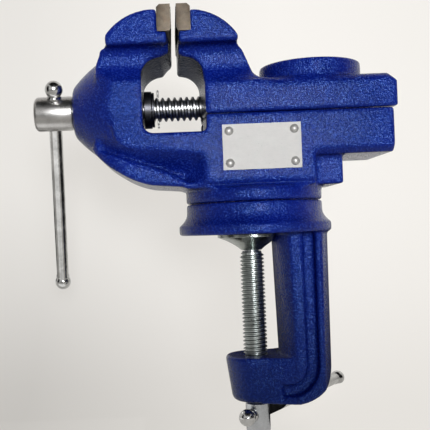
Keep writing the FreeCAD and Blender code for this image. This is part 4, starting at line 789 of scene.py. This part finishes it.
def jaw_plate(node, body, facing):
    """A plate set back by its teeth, and the teeth; facing is +1 where the grip face looks right."""
    low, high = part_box(node)
    plate = welded_copy(node, node + "_bar")
    face = high.x if facing > 0 else low.x
    for vertex in plate.data.vertices:
        if abs(vertex.co.x - face) < FACE_ZONE * MM:
            vertex.co.x -= TOOTH_DEPTH * MM * facing
    bevel = plate.modifiers.new("edge", "BEVEL")
    bevel.width = GROUND_EDGE * MM
    bevel.segments = 3
    bevel.limit_method = "ANGLE"
    bevel.angle_limit = math.radians(GROUND_FROM)
    paint_with(plate, jaw_steel)
    plate.data.materials.append(jaw_edge_steel.material)
    bevel.material = 1  # the bevels wear the second material, which is brighter
    settle(plate)
    smooth_all(plate, SHARP_FROM)
    teeth = bpy.data.objects.new(node + "_teeth", bpy.data.meshes.new(node + "_teeth"))
    bpy.context.scene.collection.objects.link(teeth)
    modifier = teeth.modifiers.new("teeth", "NODES")
    modifier.node_group = grip_teeth
    wide, tall = (high.y - low.y) - PLAIN_RIM * MM, (high.z - low.z) - PLAIN_RIM * MM
    feed(modifier, {"Width": wide, "Height": tall, "Across": round(wide / (TOOTH_PITCH * MM)),
                    "Up": round(tall / (TOOTH_PITCH * MM)), "Depth": TOOTH_DEPTH * MM,
                    "Steel": jaw_steel.material})
    settle(teeth)
    middle = (low + high) / 2
    # The grid lies in X and Y, so it is stood up to face along the lead screw.
    stand = Matrix(((0, 0, facing), (facing, 0, 0), (0, 1, 0))).to_4x4()
    back = face - TOOTH_DEPTH * MM * facing
    teeth.data.transform(Matrix.Translation((back, middle.y, middle.z)) @ stand)
    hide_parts(node)
    for piece in (plate, teeth):
        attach(piece, body)
    print(teeth.name, "faces:", len(teeth.data.polygons))


jaw_plate("fixed_jaw_plate", "vise_body", 1)
jaw_plate("sliding_jaw_plate", "sliding_jaw", -1)

# %% [markdown]
# ## Split pin
# A split pin is a strip of half-round wire folded back on itself. The fold makes an eye, the two legs pass
# through the screw side by side, and their ends are bent apart. A chain of cylinders would show its joints, so
# one curve with a round bevel follows the strip from end to end.

# %% The way the wire takes
EYE_HEIGHT = 3.4
pin_low, pin_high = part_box("split_pin")
pin_middle = (pin_low + pin_high) / 2
eye_foot = pin_high.z / MM - EYE_HEIGHT
pin_foot = pin_low.z / MM
# Each point is a distance from the middle and a height. The second leg mirrors the first.
route = [(2.3, pin_foot + 0.9), (1.2, pin_foot + 1.2), (0.53, pin_foot + 2.2), (0.52, pin_foot + 5.0),
         (0.52, eye_foot - 1.4), (0.6, eye_foot - 0.3), (1.3, eye_foot + 0.8), (1.25, eye_foot + 2.3),
         (0.0, eye_foot + 2.9)]
route += [(-across, level) for across, level in reversed(route[:-1])]
print("points along the wire:", len(route))

# %% The split pin
WIRE_RADIUS = 0.5
strip = bpy.data.curves.new("split_pin_strip", "CURVE")
strip.dimensions = "3D"
strip.bevel_depth = WIRE_RADIUS * MM
strip.bevel_resolution = 3
strip.resolution_u = 6
strip.use_fill_caps = True
line = strip.splines.new("NURBS")
line.points.add(len(route) - 1)
for point, (across, level) in zip(line.points, route):
    point.co = (pin_middle.x, pin_middle.y + across * MM, level * MM, 1.0)
line.order_u = 3
line.use_endpoint_u = True
wire = bpy.data.objects.new("split_pin_wire", strip)
bpy.context.scene.collection.objects.link(wire)
wire_mesh = bpy.data.meshes.new_from_object(wire.evaluated_get(bpy.context.evaluated_depsgraph_get()))
bpy.data.objects.remove(wire)
split_pin = bpy.data.objects.new("split_pin_wire", wire_mesh)
bpy.context.scene.collection.objects.link(split_pin)
smooth_all(split_pin)
paint_with(split_pin, rivet_metal)
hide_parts("split_pin")
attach(split_pin, "lead_screw")
print("split pin corners:", len(wire_mesh.vertices))

# %% [markdown]
# ## Studio
# The vise stands in front of a pale seamless sweep: a floor that bends up into a wall. A plane and a bright lamp
# would do for the picture, but more light washes out the enamel. So the paper has a glow of its own that only the
# viewer, mirrors and glass can see, with painted shade that makes it a little weaker to the left and low down. It
# has no back, and a view from behind looks straight at the vise.

# %% The shape of the sweep
# All in metres.
FLOOR_LEVEL = -0.1005
WALL = 0.125
BEND = 0.08
BEND_STEPS = 12
SWEEP_FRONT = -1.6
SWEEP_TOP = 1.5
SWEEP_SIDE = 1.8


def studio_sweep():
    """A floor that bends up into a wall."""
    shape = bmesh.new()
    path = [(SWEEP_FRONT, FLOOR_LEVEL), (WALL - BEND, FLOOR_LEVEL)]
    for i in range(1, BEND_STEPS + 1):
        angle = math.pi / 2 * i / BEND_STEPS
        path.append((WALL - BEND + math.sin(angle) * BEND, FLOOR_LEVEL + BEND - math.cos(angle) * BEND))
    path.append((WALL, SWEEP_TOP))
    rows = [[shape.verts.new((x, y, z)) for x in (-SWEEP_SIDE, SWEEP_SIDE)] for y, z in path]
    for low, high in zip(rows, rows[1:]):
        shape.faces.new((low[0], low[1], high[1], high[0]))
    mesh = bpy.data.meshes.new("studio_sweep")
    shape.to_mesh(mesh)
    shape.free()
    sweep = bpy.data.objects.new("studio_sweep", mesh)
    bpy.context.scene.collection.objects.link(sweep)
    return smooth_all(sweep)


sweep = studio_sweep()
print("sweep faces:", len(sweep.data.polygons))

# %% The paper of the sweep
PAPER_GLOW = (1.0, 0.965, 0.910, 1.0)
GLOW_SEEN = 0.75  # the glow's share of the paper, as the viewer sees it
GLOW_MIRRORED = 0.50  # and as polished steel does
GLOW_FULL = 1.02
# Painted shade on the paper: the glow gets weaker to the left, and more so to the left and low down.
GLOW_SHADE_LEFT = 0.14  # how much weaker it gets to the left
GLOW_SHADE_LOW = 0.18  # and how much more to the left and low down
paper = Finish("sweep_paper", Roughness=0.9, Base_Color=(0.90, 0.89, 0.87, 1.0))
behind = paper.add("ShaderNodeNewGeometry", out="Backfacing")
clear = paper.add("ShaderNodeBsdfTransparent")
# Painted shade: the glow is a little weaker to the left and low down.
leftward = paper.between(paper.axis("X"), 0.03, -0.13)
low_down = paper.between(paper.axis("Z"), 0.04, -0.09)
glow = paper.add("ShaderNodeEmission", {}, {
    "Color": PAPER_GLOW, "Strength": GLOW_FULL - leftward * (low_down * GLOW_SHADE_LOW + GLOW_SHADE_LEFT)})
seen = paper.add("ShaderNodeLightPath", out="Is Camera Ray")
through = paper.add("ShaderNodeLightPath", out="Is Transmission Ray")
mirrored = paper.add("ShaderNodeLightPath", out="Is Glossy Ray")
glow_share = (seen.most(through) * GLOW_SEEN).most(mirrored * GLOW_MIRRORED)
lit = Wire(paper, paper.shader.outputs[0])
front = paper.add("ShaderNodeMixShader", {}, {0: glow_share, 1: lit, 2: glow})
both = paper.add("ShaderNodeMixShader", {}, {0: behind, 1: front, 2: clear})
paper.tree.links.new(both.socket, paper.tree.nodes["Material Output"].inputs[0])
paint_with(sweep, paper)
sweep.visible_diffuse = False
print("paper nodes:", len(paper.tree.nodes))

# %% [markdown]
# ## Light
# The vise is lit by one large window behind the viewer, high and to the right, in a dim room. One wide lamp could
# light it all, but its reflection would then whiten every face. A lamp with a narrow spread throws its light on
# the vise alone and leaves the enamel deep, and the dim world fills in the rest. Black cards outside the picture
# give the polished steel its dark lines, and a white one gives it a bright line from below.

# %% The room
ROOM_SHARE = 0.6  # how much of the pale room a mirror sees
world = bpy.data.worlds.new("pale_room")
bpy.context.scene.world = world
world.use_nodes = True
sky = Board(world.node_tree)
world.node_tree.nodes.clear()
seen = sky.add("ShaderNodeLightPath", out="Is Camera Ray")
through = sky.add("ShaderNodeLightPath", out="Is Transmission Ray")
mirrored = sky.add("ShaderNodeLightPath", out="Is Glossy Ray")
room = sky.add("ShaderNodeBackground", {}, {"Color": (0.84, 0.87, 0.92, 1.0), "Strength": 0.10})
pale = sky.add("ShaderNodeBackground", {}, {"Color": (0.86, 0.85, 0.84, 1.0), "Strength": 1.0})
shown = seen.most(through).most(mirrored * ROOM_SHARE)
mixed = sky.add("ShaderNodeMixShader", {}, {0: shown, 1: room, 2: pale})
sky.add("ShaderNodeOutputWorld", {}, {"Surface": mixed})
print("room nodes:", len(world.node_tree.nodes))


# %% The window
def soft_lamp(name, place, target, width, height, power, colour, spread):
    """A flat lamp, in metres and watts, aimed at a point. Spread is the opening of its light in degrees."""
    data = bpy.data.lights.new(name, "AREA")
    data.shape = "RECTANGLE"
    data.size = width
    data.size_y = height
    data.energy = power
    data.spread = math.radians(spread)
    data.color = colour
    lamp = bpy.data.objects.new(name, data)
    bpy.context.scene.collection.objects.link(lamp)
    lamp.location = place
    lamp.rotation_euler = (Vector(target) - Vector(place)).to_track_quat("-Z", "Y").to_euler()
    print(name, "watts:", power)


soft_lamp("window", (0.15, -1.45, 0.23), (-0.01, 0, 0.085), 0.46, 0.56, 0.70, (0.97, 0.985, 1.0), 25)

# %% Cards
black_card = Finish("black_card", Roughness=0.9, Base_Color=(0.012, 0.012, 0.014, 1.0))
white_card = Finish("white_card", Roughness=0.9, Emission_Color=(1.0, 0.99, 0.97, 1.0), Emission_Strength=0.95)
ONLY_MIRRORED = ("camera", "diffuse", "transmission", "shadow")


def card(name, place, turn, width, height, finish=black_card, unseen=ONLY_MIRRORED):
    """A card beside the picture, in metres. Unless told otherwise only reflections see it."""
    mesh = bpy.data.meshes.new(name)
    x, y = width / 2, height / 2
    mesh.from_pydata([(-x, -y, 0), (x, -y, 0), (x, y, 0), (-x, y, 0)], [], [(0, 1, 2, 3)])
    sheet = bpy.data.objects.new(name, mesh)
    bpy.context.scene.collection.objects.link(sheet)
    sheet.location = place
    sheet.rotation_euler = turn
    for ray in unseen:
        setattr(sheet, "visible_" + ray, False)
    paint_with(sheet, finish)
    print(name, "metres:", width, "x", height)


FLAT = (0, 0, 0)
TILTED = (math.pi / 4, 0, 0)
FACING_VIEWER = (math.pi / 2, 0, 0)
FACING_SIDE = (math.pi / 2, 0, math.pi / 2)
card("flag_left", (-0.62, -0.16, 0.0), FACING_SIDE, 0.36, 0.9)
card("flag_right", (0.60, -0.42, 0.0), FACING_SIDE, 0.95, 0.9)
card("flag_above", (0.0, -0.46, 0.62), FLAT, 1.1, 1.04)
card("flag_behind", (0.037, 0.05, -0.06), TILTED, 0.105, 0.20)
card("flag_corner", (-0.18, 0.105, -0.005), TILTED, 0.10, 0.05)
# This one also casts a soft shadow, so the foot of the vise lies darker than its jaws.
card("flag_low", (0.0, -0.5, -0.17), FACING_VIEWER, 1.2, 0.34, unseen=("camera", "diffuse", "transmission"))
card("card_below", (-0.16, 0.0, FLOOR_LEVEL + 0.0004), FLAT, 0.20, 0.09, white_card)

# %% [markdown]
# ## Camera
# The picture is taken from close by, level with the middle of the vise, and the camera is rolled by a little more
# than two degrees. The lens is a short telephoto. Turning the camera would centre the vise too, but it would also
# make upright lines lean, so a small shift puts the vise in the middle of the frame.

# %% Camera
# The lens and the shifts are worked out in pixels of a square picture.
PICTURE_SIDE = 430.0
FOCAL_LENGTH = 780.0
AIM_RIGHT, AIM_DOWN = 172.0, 228.0  # where the camera's own axis meets the picture
SENSOR = 36.0
PLACE = (-0.0413, -0.390, 0.0042)  # metres
ROLL = math.radians(2.3)
lens_data = bpy.data.cameras.new("viewer")
lens_data.sensor_width = SENSOR
lens_data.lens = FOCAL_LENGTH / PICTURE_SIDE * SENSOR
lens_data.shift_x = (PICTURE_SIDE / 2 - AIM_RIGHT) / PICTURE_SIDE
lens_data.shift_y = (AIM_DOWN - PICTURE_SIDE / 2) / PICTURE_SIDE
lens_data.clip_start = 0.01
camera = bpy.data.objects.new("viewer", lens_data)
bpy.context.scene.collection.objects.link(camera)
upright_view = Matrix.Translation(PLACE) @ Matrix.Rotation(math.pi / 2, 4, "X")
camera.matrix_world = upright_view @ Matrix.Rotation(-ROLL, 4, "Z")
bpy.context.scene.camera = camera
bpy.context.scene.view_settings.view_transform = "Standard"
print("lens in mm:", round(lens_data.lens, 2))

# %% [markdown]
# ## A last update
# Soft edges and threads must not make the vise any bigger than the model it dresses. The scene is brought up to
# date once more at the end.

# %% Bring the scene up to date
bpy.context.view_layer.update()
